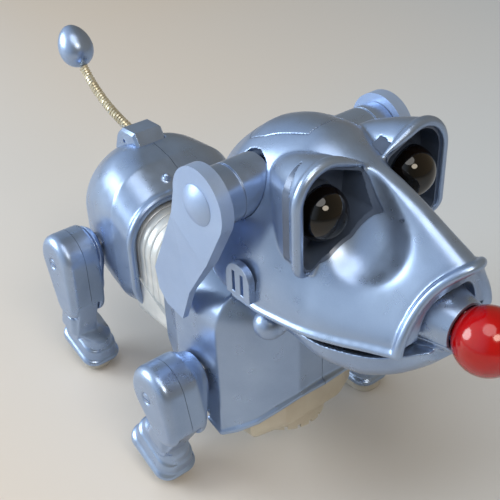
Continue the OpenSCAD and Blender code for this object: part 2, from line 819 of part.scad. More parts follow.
// Shin frame: knee axis at x = z = 0. The place of a foot is its setback and its shift towards the body.
module foot_sheet(z, t, place, grow, r = 8) {
    translate([1 - place[0], place[1] - leg_w / 2, z]) linear_extrude(t)
        offset(r, $fn = 32) square([34 + 2 * (grow - r), leg_w + 2 * (grow - r)], center = true);
}

module shin_form(height, place) {
    foot = sole_t - height;
    ankle = -0.4 * place[0] - 9;
    difference() {
        union() {
            hull() {
                foot_sheet(foot, 1, place, 0);
                foot_sheet(foot + 2, 1, place, 1);
                foot_sheet(foot + 5, 1, place, 1);
            }
            hull() {
                foot_sheet(foot + 5, 1, place, 0);
                foot_sheet(foot + 13, 1, place, -0.6);
                foot_sheet(foot + 19, 1, place, -3);
                translate([ankle, -leg_w + 3, foot + 24]) cube([17, leg_w - 6, 1]);
            }
            translate([ankle + 1, -leg_w + 2, foot + 20]) cube([15, leg_w - 4, -knee_r - foot - 20]);
        }
        along_y(0, 0, -leg_w - 5, 5, knee_r + knee_clear);
    }
    let ($fn = 32) hull() {
        along_y(0, 0, -leg_w + knee_plate + clear, -knee_plate - clear, knee_drum_r);
        along_y(-place[0] * 0.5, -height * 0.45, -leg_w + knee_plate + clear, -knee_plate - clear,
            knee_drum_r - 1.5);
    }
}

module shin_place(leg, side, bend) {
    k = knee(leg[2], leg[3]);
    leg_place(leg[0], leg[1], side) translate([k[0], 0, k[1]]) rotate([0, bend, 0]) children();
}

// Knee to sole, so that the toe stands on the floor when the shin is swung back
function knee_height(leg) =
    (leg[0][1] + knee(leg[2], leg[3])[1] - (18 - leg[5][0]) * sin(leg[6])) / cos(leg[6]);

module shin(leg, side, bend) {
    color("lightsteelblue") shin_place(leg, side, bend) difference() {
        shin_form(knee_height(leg), leg[5]);
        along_y(0, 0, -leg_w, 0, knee_pin_r + joint_gap);
    }
}

module sole(leg, side, bend) {
    color("linen") shin_place(leg, side, bend) foot_sheet(-knee_height(leg), sole_t, leg[5], -1.6);
}

// Legs: hip, distance of the inner face, thigh length, lean, aim and spread of the knee slot, place of the
// foot, bend, length of the hip boss
rear_leg = [hip_rear, rear_leg_y, thigh_len, 10, [-8, 24], [0, foot_shift[0]], 16, hip_boss[0]];
front_leg = [hip_front, front_leg_y, front_thigh_len, 30, [-20, 28], [8, foot_shift[1]], 21, hip_boss[1]];
front_right_bend = front_leg[6];
rear_right_bend = rear_leg[6];

// ---------------------------------------------------------------- pieces by name
module rear_shell_right() rear_shell(-1);
module rear_shell_left() rear_shell(1);
module chest_shell_right() chest_shell(-1);
module chest_shell_left() chest_shell(1);
module eye_cup_right() eye_cup(-1);
module eye_cup_left() eye_cup(1);
module eye_lens_right() eye_lens(-1);
module eye_lens_left() eye_lens(1);
module cheek_vent_right() cheek_vent(-1);
module cheek_vent_left() cheek_vent(1);
module ear_post_right() ear_post(-1);
module ear_post_left() ear_post(1);
module ear_flap_right() ear_flap(-1);
module ear_flap_left() ear_flap(1);
module ear_cap_right() ear_cap(-1);
module ear_cap_left() ear_cap(1);
module thigh_outer_rear_right() thigh_outer(rear_leg, -1);
module thigh_inner_rear_right() thigh_inner(rear_leg, -1);
module shin_rear_right() shin(rear_leg, -1, rear_right_bend);
module sole_rear_right() sole(rear_leg, -1, rear_right_bend);
module thigh_outer_rear_left() thigh_outer(rear_leg, 1);
module thigh_inner_rear_left() thigh_inner(rear_leg, 1);
module shin_rear_left() shin(rear_leg, 1, 0);
module sole_rear_left() sole(rear_leg, 1, 0);
module thigh_outer_front_right() thigh_outer(front_leg, -1);
module thigh_inner_front_right() thigh_inner(front_leg, -1);
module shin_front_right() shin(front_leg, -1, front_right_bend);
module sole_front_right() sole(front_leg, -1, front_right_bend);
module thigh_outer_front_left() thigh_outer(front_leg, 1);
module thigh_inner_front_left() thigh_inner(front_leg, 1);
module shin_front_left() shin(front_leg, 1, 0);
module sole_front_left() sole(front_leg, 1, 0);

rear_shell_right();
rear_shell_left();
tail_mount();
tail_spring();
tail_tip();
waist_bellows();
chest_shell_right();
chest_shell_left();
belly_pan();
speaker_grille();
speaker();
battery_door();
batteries();
chassis();
gearbox_rear();
gearbox_front();
drive_motor();
neck_motor();
circuit_board();
hip_bushes();
neck_collar();
neck_post();
power_switch();
head_shell();
head_panel();
head_base();
eye_cup_right();
eye_cup_left();
eye_lens_right();
eye_lens_left();
snout_cone();
nose_ball();
cheek_vent_right();
cheek_vent_left();
ear_post_right();
ear_post_left();
ear_flap_right();
ear_flap_left();
ear_cap_right();
ear_cap_left();
ear_shaft();
jaw_shell();
jaw_pin();
thigh_outer_rear_right();
thigh_inner_rear_right();
shin_rear_right();
sole_rear_right();
thigh_outer_rear_left();
thigh_inner_rear_left();
shin_rear_left();
sole_rear_left();
thigh_outer_front_right();
thigh_inner_front_right();
shin_front_right();
sole_front_right();
thigh_outer_front_left();
thigh_inner_front_left();
shin_front_left();
sole_front_left();
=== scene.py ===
import json
import math

import bpy
import bmesh
import numpy as np
from mathutils import Matrix, Vector

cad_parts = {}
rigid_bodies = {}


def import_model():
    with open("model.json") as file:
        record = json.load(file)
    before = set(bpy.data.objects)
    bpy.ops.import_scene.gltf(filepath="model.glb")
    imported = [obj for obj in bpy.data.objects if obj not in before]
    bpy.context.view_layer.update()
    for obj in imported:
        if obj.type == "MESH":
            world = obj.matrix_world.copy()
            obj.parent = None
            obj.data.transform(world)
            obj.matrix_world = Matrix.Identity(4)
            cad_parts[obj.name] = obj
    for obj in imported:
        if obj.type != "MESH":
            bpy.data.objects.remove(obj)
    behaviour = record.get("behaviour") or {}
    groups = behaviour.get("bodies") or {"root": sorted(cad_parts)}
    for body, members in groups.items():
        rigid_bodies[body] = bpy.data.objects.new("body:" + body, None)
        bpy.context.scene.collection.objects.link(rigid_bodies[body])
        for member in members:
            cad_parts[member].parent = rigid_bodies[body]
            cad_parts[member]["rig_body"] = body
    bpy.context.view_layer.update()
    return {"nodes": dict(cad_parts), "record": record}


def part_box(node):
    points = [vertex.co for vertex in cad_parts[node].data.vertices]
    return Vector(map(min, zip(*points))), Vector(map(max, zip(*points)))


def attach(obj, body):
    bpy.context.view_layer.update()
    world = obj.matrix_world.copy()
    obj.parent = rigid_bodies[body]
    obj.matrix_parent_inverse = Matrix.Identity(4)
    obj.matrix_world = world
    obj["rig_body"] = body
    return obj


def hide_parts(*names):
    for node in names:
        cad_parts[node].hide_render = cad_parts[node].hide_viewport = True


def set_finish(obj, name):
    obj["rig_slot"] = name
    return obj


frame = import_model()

# Lengths below are millimetres in the CAD frame, as in the part's source. MM turns them into metres.
MM = 0.001
NODES = frame["nodes"]
SLOT_OF = {s["node"]: s["material_slot"] for s in frame["record"]["subparts"]}
JOINT_AT = {j["name"]: [round(v / MM, 6) for v in j["pos_m"]]
            for j in frame["record"]["behaviour"]["joints"] if "pos_m" in j}


def middle(node):
    """Middle of a CAD node's box, in mm."""
    lo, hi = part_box(node)
    return (lo + hi) / 2 / MM


def low(node):
    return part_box(node)[0] / MM


def high(node):
    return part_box(node)[1] / MM


# ---------------------------------------------------------------- sizes from the frame
EAR = middle("ear_cap_right")
EAR_X, EAR_Z = EAR.x, EAR.z
NOSE_R = (high("nose_ball").z - low("nose_ball").z) / 2
NOSE = Vector((high("nose_ball").x - NOSE_R, 0, middle("nose_ball").z))
PIVOT_X, PIVOT_Z = JOINT_AT["jaw_open"][0], JOINT_AT["jaw_open"][2]
TAIL_ROOT = Vector(JOINT_AT["tail_sway"])
HIP = {kind: JOINT_AT[f"hip_{kind}_right"] for kind in ("rear", "front")}
EYE_X, EYE_Y, EYE_Z = EAR_X + 44, 25.5, EAR_Z + 3
HEAD_WALL, BODY_WALL, JAW_WALL = 2.4, 2.2, 2.2
# Radii of the rolled rims, of the raised lines on the shells and of the edge round the muzzle
RIM_R, LIP_R, ARCH_R = 2.6, 1.7, 2.2
# Back end of the snout cone, and the plane of the rear housing's mouth
CONE_BACK = NOSE.x - 29
MOUTH_X = -45


# ---------------------------------------------------------------- numbers
def monotone(xs, ys, x):
    """Monotone cubic through the points (xs, ys), read at x."""
    xs, ys, x = (np.asarray(v, float) for v in (xs, ys, x))
    h = np.diff(xs)
    d = np.diff(ys) / h
    m = np.empty_like(ys)
    m[0], m[-1] = d[0], d[-1]
    for i in range(1, len(xs) - 1):
        if d[i - 1] * d[i] <= 0:
            m[i] = 0
        else:
            w1, w2 = 2 * h[i] + h[i - 1], h[i] + 2 * h[i - 1]
            m[i] = (w1 + w2) / (w1 / d[i - 1] + w2 / d[i])
    i = np.clip(np.searchsorted(xs, x, "right") - 1, 0, len(h) - 1)
    t = (x - xs[i]) / h[i]
    return ((1 + 2 * t) * (1 - t) ** 2 * ys[i] + t * (1 - t) ** 2 * h[i] * m[i]
            + t * t * (3 - 2 * t) * ys[i + 1] + t * t * (t - 1) * h[i] * m[i + 1])


def dense(rows, count):
    """Rows whose first column rises, made into count rows on smooth curves."""
    rows = np.asarray(rows, float)
    x = np.linspace(rows[0, 0], rows[-1, 0], count)
    return np.column_stack([x] + [monotone(rows[:, 0], rows[:, k], x) for k in range(1, rows.shape[1])])


def creased(rows, count, breaks=()):
    """As dense, but with a crease at each row whose place is in breaks."""
    rows = sorted(rows)
    cuts = [0] + [i for i, r in enumerate(rows) if r[0] in breaks] + [len(rows) - 1]
    length = rows[-1][0] - rows[0][0]
    runs = []
    for a, b in zip(cuts, cuts[1:]):
        steps = max(3, round(count * (rows[b][0] - rows[a][0]) / length))
        runs.append(dense(rows[a:b + 1], steps)[1 if a else 0:])
    return np.vstack(runs)


def hull_outline(circles, count):
    """Evenly spaced points round the tight band that holds the circles (u, v, radius)."""
    a = np.linspace(0, 2 * np.pi, 1440, endpoint=False)
    n = np.column_stack([np.cos(a), np.sin(a)])
    c = np.asarray(circles, float)
    reach = n @ c[:, :2].T + c[:, 2]
    best = reach.argmax(1)
    p = c[best, :2] + n * c[best, 2:3]
    p = np.vstack([p, p[:1]])
    s = np.concatenate([[0], np.cumsum(np.linalg.norm(np.diff(p, axis=0), axis=1))])
    at = np.linspace(0, s[-1], count, endpoint=False)
    return np.column_stack([np.interp(at, s, p[:, 0]), np.interp(at, s, p[:, 1])])


def rounded_box(half_u, low_v, high_v, r, low_r=None):
    """Outline of a box with round corners; low_r is the radius of the two at the bottom."""
    r = min(r, half_u - 0.01, (high_v - low_v) / 2 - 0.01)
    low_r = min(r, low_r or r)
    circles = [(side * (half_u - r), high_v - r, r) for side in (-1, 1)]
    circles += [(side * (half_u - low_r), low_v + low_r, low_r) for side in (-1, 1)]
    return hull_outline(circles, 200)


# ---------------------------------------------------------------- meshes
def placed(name, data):
    """A new object in the scene."""
    obj = bpy.data.objects.new(name, data)
    bpy.context.scene.collection.objects.link(obj)
    return obj


def copied(obj, name):
    return placed(name, obj.data.copy())


def piece(name, verts, faces):
    mesh = bpy.data.meshes.new(name)
    mesh.from_pydata([Vector(v) * MM for v in verts], [], faces)
    bm = bmesh.new()
    bm.from_mesh(mesh)
    bmesh.ops.recalc_face_normals(bm, faces=bm.faces)
    bm.to_mesh(mesh)
    bm.free()
    return placed(name, mesh)


def skin(name, rings):
    """Closed solid through rings of equally many points, with a fan on each end."""
    n, m = len(rings[0]), len(rings)
    verts = [tuple(p) for ring in rings for p in ring]
    faces = [(j * n + i, j * n + (i + 1) % n, (j + 1) * n + (i + 1) % n, (j + 1) * n + i)
             for j in range(m - 1) for i in range(n)]
    for ring, start in ((rings[0], 0), (rings[-1], (m - 1) * n)):
        verts.append(tuple(np.mean(ring, axis=0)))
        faces += [(len(verts) - 1, start + i, start + (i + 1) % n) for i in range(n)]
    return piece(name, verts, faces)


def lathe(name, profile, origin, axis, count=96):
    """Solid of revolution: profile is (distance along the axis, radius)."""
    turn = Vector((0, 0, 1)).rotation_difference(Vector(axis)).to_matrix()
    rings = []
    for along, r in profile:
        rings.append([Vector(origin) + turn @ Vector((r * math.cos(a), r * math.sin(a), along))
                      for a in np.linspace(0, 2 * np.pi, count, endpoint=False)])
    return skin(name, rings)


def rod(name, x, z, y0, y1, r, count=96):
    return lathe(name, [(0, r), (y1 - y0, r)], (x, y0, z), (0, 1, 0), count)


def block(name, lo, hi):
    v = [(x, y, z) for x in (lo[0], hi[0]) for y in (lo[1], hi[1]) for z in (lo[2], hi[2])]
    sides = [(0, 1, 3, 2), (4, 6, 7, 5), (0, 4, 5, 1), (2, 3, 7, 6), (0, 2, 6, 4), (1, 5, 7, 3)]
    return piece(name, v, sides)


def tube(name, path, radius, sides=16):
    """Bar of round section along a path; radius is a number or one per point."""
    path = [Vector(p) for p in path]
    radii = [float(r) for r in np.broadcast_to(radius, len(path))]
    rings, side = [], None
    for i, p in enumerate(path):
        way = (path[min(i + 1, len(path) - 1)] - path[max(i - 1, 0)]).normalized()
        side = way.orthogonal() if side is None else (side - way * side.dot(way))
        side.normalize()
        up = way.cross(side)
        rings.append([p + radii[i] * (math.cos(a) * side + math.sin(a) * up)
                      for a in np.linspace(0, 2 * np.pi, sides, endpoint=False)])
    return skin(name, rings)


def flipped(obj):
    """Turns a right-hand mesh into the left-hand one."""
    obj.data.transform(Matrix.Scale(-1, 4, (0, 1, 0)))
    obj.data.flip_normals()
    return obj


def mirrored(obj, name):
    return flipped(copied(obj, name))


def settle(obj):
    """Applies the modifiers."""
    bpy.context.view_layer.update()
    made = bpy.data.meshes.new_from_object(obj.evaluated_get(bpy.context.evaluated_depsgraph_get()))
    obj.modifiers.clear()
    old, obj.data = obj.data, made
    bpy.data.meshes.remove(old)
    return obj


def drop(*objs):
    for o in objs:
        bpy.data.objects.remove(o)


def shape(obj, kind, *others, keep=False):
    """Boolean of obj with others: UNION, DIFFERENCE or INTERSECT."""
    for o in others:
        m = obj.modifiers.new("cut", "BOOLEAN")
        m.operation, m.solver, m.object = kind, "MANIFOLD", o
    settle(obj)
    if not keep:
        drop(*others)
    return obj


def merged(name, *objs):
    """Several closed solids as one mesh, for the moulding step to fuse."""
    bm = bmesh.new()
    for o in objs:
        bm.from_mesh(o.data)
    mesh = bpy.data.meshes.new(name)
    bm.to_mesh(mesh)
    bm.free()
    drop(*objs)
    return placed(name, mesh)


def mould(obj, voxel, rounds):
    """Fuses a mesh and rounds its edges and corners, as paint over moulded plastic does."""
    m = obj.modifiers.new("fuse", "REMESH")
    m.mode, m.voxel_size = "VOXEL", voxel * MM
    m = obj.modifiers.new("round", "SMOOTH")
    m.factor, m.iterations = 0.5, rounds
    settle(obj)
    obj.data.shade_smooth()
    return obj


def refined(node, bevel, angle=32):
    """A CAD node's own shape with welded vertices and small rounds on its sharp edges."""
    bm = bmesh.new()
    bm.from_mesh(NODES[node].data)
    bmesh.ops.remove_doubles(bm, verts=bm.verts, dist=1e-6)
    bmesh.ops.dissolve_limit(bm, angle_limit=math.radians(1), verts=bm.verts, edges=bm.edges)
    mesh = bpy.data.meshes.new(node + "_form")
    bm.to_mesh(mesh)
    bm.free()
    obj = placed(node + "_form", mesh)
    m = obj.modifiers.new("edge", "BEVEL")
    m.width, m.segments, m.limit_method, m.angle_limit = bevel * MM, 2, "ANGLE", math.radians(angle)
    settle(obj)
    return even_shade(obj, 40)


def even_shade(obj, angle, facets=False):
    """Smooth shading that stays level on flat faces, with sharp edges where they bend by more than angle.

    With facets, slight edges between faces that look sideways are kept sharp too.
    """
    obj.data.shade_smooth()
    bm = bmesh.new()
    bm.from_mesh(obj.data)
    for e in bm.edges:
        if len(e.link_faces) != 2:
            continue
        sideways = all(abs(f.normal.y) > 0.95 for f in e.link_faces)
        limit = 3 if facets and sideways else angle
        e.smooth = e.calc_face_angle() < math.radians(limit)
    bm.to_mesh(obj.data)
    bm.free()
    m = obj.modifiers.new("level", "WEIGHTED_NORMAL")
    m.keep_sharp = True
    return settle(obj)


def beyond(at, normal):
    """Block that fills the space beyond a plane."""
    far = block("beyond", (-90, -90, 0), (90, 90, 60))
    turn = Vector((0, 0, 1)).rotation_difference(Vector(normal)).to_matrix().to_4x4()
    far.data.transform(Matrix.Translation(Vector(at) * MM) @ turn)
    return far


PIECES = []


def stands_for(obj, *nodes):
    """obj is shown in place of these CAD nodes, on their body and in their finish."""
    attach(obj, NODES[nodes[0]]["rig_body"])
    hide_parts(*nodes)
    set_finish(obj, SLOT_OF[nodes[0]])
    PIECES.append(obj)
    return obj


# ---------------------------------------------------------------- head
# Station: place from the ear axis, half width, bottom, top, share of the pinched bridge shape, forward lean
HEAD = [(-37, 14, -20, -6, 0, 0),
        (-33, 24, -31, 1, 0, 0),
        (-24, 35, -42, 9.5, 0, 0),
        (-10, 41.5, -48, 19.5, 0, 0),
        (4, 43, -49, 24, 0, 0),
        (20, 43, -49, 25.5, 0.05, 0),
        (34, 42, -48, 21, 0.25, 3),
        (48, 40, -47, 16, 0.6, 6),
        (62, 36, -45.5, 9.5, 0.75, 9),
        (76, 31, -43.5, 2, 0.66, 10.5),
        (88, 27, -42, -5, 0.46, 12)]
# Floor of the eye cups, and a plane in front of all that is cut there
CUP_FLOOR, CUT_END = EYE_X - 9, EYE_X + 25


def arch(t, bridge):
    """Half width of the head at height share t, from a round dome to a pinched bridge."""
    fall = 1 - t * t * (3 - 2 * t)
    pinched = 0.22 * np.sqrt(np.maximum(0, 1 - t ** 6)) + 0.78 * fall ** 1.25
    return (1 - bridge) * np.sqrt(np.maximum(0, 1 - t * t)) + bridge * pinched


def leaned(x, lean, t):
    """The front of the head rises almost upright, then curls forward at the top."""
    return EAR_X + x + lean * t ** 4


def head_form(name, inset=0.0, steps=48, count=110):
    """The head without its eyes; an inset form is the room inside it."""
    t = np.sin(np.linspace(0, np.pi / 2, steps))
    rings = []
    rows = dense(HEAD, count)
    rows[0, 0] += inset
    rows[-1, 0] -= inset
    for x, w, b, top, bridge, lean in rows:
        low_z = b - (1 if inset else 0)
        half = (w - inset) * arch(t, bridge)
        ring = np.column_stack([leaned(x, lean, t), -half, EAR_Z + low_z + (top - inset - low_z) * t])
        other = ring[::-1][1:] * (1, -1, 1)
        rings.append(np.vstack([ring, other]))
    return skin(name, rings)


# Circles (y, height over the ear axis, radius) round which an outline is drawn tight
SOCKET = [(-26.5, 11.5, 13.2), (-10.5, 14.5, 4.5), (-10.3, 4, 3), (-21, -3.5, 7), (-34.3, -14.2, 5.2)]
POD = [(-26, 12.5, 13.5), (-31.5, -12, 8), (-20.5, -3, 7.5)]


def eye_circles(grow=0.0, circles=SOCKET, dy=0.0, dz=0.0):
    """The circles in the CAD frame, grown and moved."""
    return [(y + dy, EAR_Z + z + dz, r + grow) for y, z, r in circles]


def eye_prism(name, x0, x1, grow=0.0):
    """Bar with the socket's outline between two places along x."""
    ring = hull_outline(eye_circles(grow), 120)
    return skin(name, [np.column_stack([np.full(len(ring), x), ring]) for x in (x0, x1)])


def eye_pod(name):
    """Bulge behind an eye: the eye's outline drawn back, in and down, and closed round."""
    front, length = EYE_X + 1.5, 34.5
    rings = []
    for u in np.linspace(0, 1, 28):
        grow = 2 - 8 * u ** 1.5 - 4 * u ** 9
        ring = hull_outline(eye_circles(grow, POD, 5 * u, -4 * u), 120)
        rings.append(np.column_stack([np.full(len(ring), front - length * u), ring]))
    return skin(name, rings)


def half_round(r, count):
    """Profile of a ball for the lathe."""
    return [(-r * math.cos(a), max(r * math.sin(a), 0.01)) for a in np.linspace(0, math.pi, count)]


def ball(name, at, r):
    return lathe(name, half_round(r, 40), at, (0, 0, 1), 72)


def eye_bowl(name, grow=0.0):
    """Hollow between an eye and the bridge: a large ball drawn up to a small one."""
    both = merged(name, ball("big", (EYE_X + 21.5, -33, EAR_Z + 2.5), 26 + grow),
                  ball("small", (EYE_X + 9, -17, EAR_Z + 19), 13.4 + grow))
    bm = bmesh.new()
    bm.from_mesh(both.data)
    made = bmesh.ops.convex_hull(bm, input=bm.verts)
    inner = [g for g in made["geom_interior"] + made["geom_unused"] if isinstance(g, bmesh.types.BMVert)]
    bmesh.ops.delete(bm, geom=inner, context="VERTS")
    bmesh.ops.delete(bm, geom=[f for f in bm.faces if f not in set(made["geom"])], context="FACES_ONLY")
    bm.to_mesh(both.data)
    bm.free()
    return both


def eye_rim(name):
    """Raised rim that runs up the outer side of the socket and over its top."""
    ring = hull_outline(eye_circles(1.5), 240)
    centre = np.array([-26, EAR_Z])
    lowest, last = -66, 142
    a = np.degrees(np.arctan2(ring[:, 1] - centre[1], -(ring[:, 0] - centre[0])))
    picked = [i for i in np.argsort(a) if lowest < a[i] < last]
    share = np.linspace(0, 1, len(picked))
    radius = RIM_R * np.clip(np.minimum(share / 0.1, (1 - share) / 0.2), 0.2, 1) ** 0.6
    return tube(name, [(EYE_X + 1.6, ring[i, 0], ring[i, 1]) for i in picked], radius, 20)


def lip(name, side):
    """Raised line along the lower edge of the muzzle."""
    rows = dense(HEAD, 110)
    rows = rows[rows[:, 0] > 4]
    return tube(name, [(EAR_X + r[0], side * (r[1] - 0.2), EAR_Z + r[2] + 0.8) for r in rows], LIP_R)


def muzzle_arch(name):
    """Rolled edge round the front opening of the head."""
    t = np.sin(np.linspace(0, np.pi / 2, 40))
    x, w, b, top, bridge, lean = HEAD[-1]
    half = np.column_stack([leaned(x, lean, t), -w * arch(t, bridge), EAR_Z + b + (top - b) * t])
    return tube(name, np.vstack([half, half[::-1][1:] * (1, -1, 1)]), ARCH_R)


def panel_prism(name, grow=0.0):
    """Bar with the outline of the roof panel, through the top of the head."""
    corners = np.array([(-22, -16), (-4, -16), (17.5, -10), (17.5, 10), (-4, 16), (-22, 16)], float)
    corners += np.sign(corners) * grow
    return skin(name, [[(EAR_X + x, y, EAR_Z + z) for x, y in corners] for z in (12, 44)])


def soften(obj, lo, hi, fade, rounds):
    """Evens out the part of a mesh between two heights (mm), fading to nothing over fade mm at each end."""
    group = obj.vertex_groups.new(name="soft")
    for v in obj.data.vertices:
        z = v.co.z / MM
        share = min(1, (z - lo) / fade, (hi - z) / fade)
        if share > 0 and v.co.x / MM > EYE_X - 8:
            group.add([v.index], share, "REPLACE")
    m = obj.modifiers.new("even", "SMOOTH")
    m.factor, m.iterations, m.vertex_group = 0.5, rounds, "soft"
    return settle(obj)


def build_cups(body):
    """Dark cups that line the sockets, with an edge that stands a little proud of the bowl."""
    limit = copied(body, "limit")
    m = limit.modifiers.new("proud", "DISPLACE")
    m.strength, m.mid_level = 0.7 * MM, 0
    m = limit.modifiers.new("even", "SMOOTH")
    m.factor, m.iterations = 0.5, 8
    settle(limit)
    shape(limit, "UNION", eye_prism("front", EYE_X - 10, EYE_X + 2.2, 2))
    cup = eye_prism("cup", CUP_FLOOR, CUT_END, -0.1)
    shape(cup, "DIFFERENCE", eye_prism("cup_room", CUP_FLOOR + 1, CUT_END + 15, -1.2))
    shape(cup, "UNION", lathe("seat", [(0, 12), (6.8, 11.6)], (CUP_FLOOR, -EYE_Y, EYE_Z), (1, 0, 0)))
    shape(cup, "INTERSECT", limit)
    shape(cup, "DIFFERENCE", ball("pocket", (EYE_X - 2.2, -EYE_Y, EYE_Z), 11.7))
    even_shade(cup, 40)
    other = mirrored(cup, "cup_lining_left")
    cup.name = "cup_lining_right"
    stands_for(cup, "eye_cup_right")
    stands_for(other, "eye_cup_left")


def build_head():
    """Head shell: form and bowls, then pods, rims and edges, then what is cut out, and the roof panel."""
    body, bowl = head_form("head_body"), eye_bowl("bowl_r")
    shape(body, "DIFFERENCE", bowl, mirrored(bowl, "bowl_l"))
    mould(body, 0.9, 3)
    soften(body, EAR_Z - 36, EAR_Z + 14, 12, 110)
    build_cups(body)
    parts = [body, eye_pod("pod_r"), eye_rim("rim_r"), muzzle_arch("arch"),
             lip("lip_r", -1), lip("lip_l", 1)]
    parts += [mirrored(parts[1], "pod_l"), mirrored(parts[2], "rim_l")]
    skull = mould(merged("skull", *parts), 0.6, 5)
    cutters = [eye_prism("socket", CUP_FLOOR, CUT_END)]
    cutters.append(mirrored(cutters[0], "socket_l"))
    cutters.append(lathe("muzzle", [(0, 17.2), (30, 15)], (CONE_BACK, 0, NOSE.z), (1, 0, 0)))
    cutters.append(block("mouth_gap", (EAR_X + 82, -24, EAR_Z - 60), (EAR_X + 122, 24, NOSE.z - 3.5)))
    cutters.append(panel_prism("panel_slot"))
    cutters += [rod("post_hole_" + s, EAR_X, EAR_Z, y0, y1, 13.05)
                for s, y0, y1 in (("r", -60, -20), ("l", 20, 60))]
    inside = head_form("inside", HEAD_WALL + 1, 32, 60)
    walls = [eye_prism("plug", CUP_FLOOR - 2, CUT_END + 4, 4), eye_bowl("thick_bowl", HEAD_WALL + 4)]
    walls += [mirrored(wall, wall.name + "_l") for wall in walls]
    shape(inside, "DIFFERENCE", *walls)
    shape(skull, "DIFFERENCE", inside, *cutters)
    stands_for(mould(skull, 0.5, 4), "head_shell").name = "head_skin"

    panel = head_form("roof_panel", 0.15, 40, 90)
    shape(panel, "INTERSECT", panel_prism("panel_edge", -0.25))
    shape(panel, "DIFFERENCE", head_form("panel_inner", HEAD_WALL, 24, 40))
    stands_for(mould(panel, 0.4, 1), "head_panel")


def build_flaps():
    """Ear flaps whose outer face is pressed in below the cap, as two slight facets that meet in a line."""
    for side, word in ((-1, "right"), (1, "left")):
        flap = refined("ear_flap_" + word, 0.01, 60)
        face_y = side * max(abs(low("ear_flap_" + word).y), abs(high("ear_flap_" + word).y))
        at = (EAR_X - 21, face_y, EAR_Z - 13)
        front_facet = beyond(at, (-0.055, side, -0.073))
        back_facet = beyond(at, (0.085, side, -0.056))
        shape(flap, "DIFFERENCE", shape(front_facet, "INTERSECT", back_facet))
        m = flap.modifiers.new("edge", "BEVEL")
        m.width, m.segments, m.limit_method, m.angle_limit = 0.5 * MM, 3, "ANGLE", math.radians(32)
        settle(flap)
        stands_for(even_shade(flap, 40, True), "ear_flap_" + word)


# ---------------------------------------------------------------- jaw
# Station: place from the jaw pin, half width, bottom, top
JAW = [(3, 37, -8, -0.5), (14, 36, -15, -0.8), (28, 34.5, -22, -1.4), (42, 31, -22, 0.2), (54, 27, -16, 2.8),
       (64, 21, -8, 6.5), (72, 14, 1, 9.5)]


def jaw_form(name, inset, lift, rows):
    """Half-round trough; lift raises the flat top of the one that cuts the inside."""
    rings = []
    a = np.linspace(0, np.pi, 60)
    wide = np.cos(a) * (0.55 + 0.45 * np.sqrt(np.abs(np.cos(a))))
    for x, w, b, top in rows:
        ring = np.column_stack([np.full(60, PIVOT_X + x), (w - inset) * wide,
                                PIVOT_Z + top - (top - b - inset) * np.sin(a) ** 0.8])
        edge = [(PIVOT_X + x, q * (w - inset), PIVOT_Z + top + lift) for q in (-1, 1)]
        rings.append(np.vstack([ring, edge]))
    return skin(name, rings)


def build_jaw():
    """Open tray under the muzzle, with the lower half of the snout cone and a round knuckle on each side."""
    rows = dense(JAW, 60)
    outer = jaw_form("jaw_outer", 0, 0.1, rows)
    inner_rows = rows[:50].copy()
    inner_rows[0, 0] -= 6
    shape(outer, "DIFFERENCE", jaw_form("jaw_inner", JAW_WALL, 4, inner_rows))
    cone_profile = [(0, 16), (18, 11.4), (18, 9.8), (15, 9), (0, 13.4)]
    cone = lathe("cone", cone_profile, (CONE_BACK, 0, NOSE.z), (1, 0, 0))
    shape(cone, "DIFFERENCE", block("above", (EAR_X + 60, -40, NOSE.z - 4.3), (EAR_X + 140, 40, NOSE.z + 60)))
    knobs = []
    for side in (-1, 1):
        at = (PIVOT_X + 2, side * 38, PIVOT_Z - 4.6)
        knobs.append(lathe(f"knob{side}", half_round(7.2, 24), at, (0, side, 0)))
        knobs.append(rod(f"lug{side}", PIVOT_X + 4, PIVOT_Z - 4, side * 36 - 1.5, side * 36 + 1.5, 6))
    jaw = mould(merged("jaw", outer, cone, *knobs), 0.5, 3)
    cuts = [rod("room_r", PIVOT_X, PIVOT_Z, -33.3, -20, 12), rod("room_l", PIVOT_X, PIVOT_Z, 20, 33.3, 12),
            rod("bore", PIVOT_X, PIVOT_Z, -36, 36, 2.1),
            block("top", (PIVOT_X - 20, -60, EAR_Z - 50), (PIVOT_X + 24, 60, EAR_Z - 30))]
    stands_for(mould(shape(jaw, "DIFFERENCE", *cuts), 0.5, 6), "jaw_shell")


# ---------------------------------------------------------------- body
# Station: x, half width, bottom, top, corner radius, radius of the bottom corners
REAR = [(-124, 22, 68, 114, 20, 20),
        (-102, 34, 54, 134.5, 32, 32),
        (-82, 38, 50, 142, 31, 31),
        (-64, 40.4, 52, 139, 26, 26),
        (-46, 40, 58, 129, 25, 25)]
CHEST = [(-17, 41, 50, 118, 20, 18),
         (4, 48, 46, 119, 22, 10),
         (36, 47, 36.5, 121, 20, 3),
         (49, 34, 46, 116, 16, 3),
         (59, 15, 59, 106, 10, 3)]
PAN = [(-11, 30, 42, 54, 6, 6),
       (20, 38, 30, 58, 6, 6),
       (44, 35, 29.5, 58, 6, 6),
       (54, 20, 37, 58, 6, 6)]
# Stations at which a housing has a crease
REAR_CREASES, CHEST_CREASES, PAN_CREASES = (-64,), (4, 36), (20, 44)
# Outline of the neck collar as x, y of its six corners
COLLAR = [(-17, -17), (4, -17), (19, -7), (19, 7), (4, 17), (-17, 17)]
SEAM_GAP = 0.14


def housing(name, rows, breaks, inset=0.0, count=70):
    """Housing through its stations; an inset one is the room inside it."""
    rows = creased(rows, count, breaks)
    rows[0, 0] += inset
    rows[-1, 0] -= inset
    rings = []
    for x, w, b, top, r, low_r in rows:
        ring = rounded_box(w - inset, b + inset, top - inset, max(2, r - inset), max(2, low_r - inset))
        rings.append(np.column_stack([np.full(len(ring), x), ring]))
    return skin(name, rings)


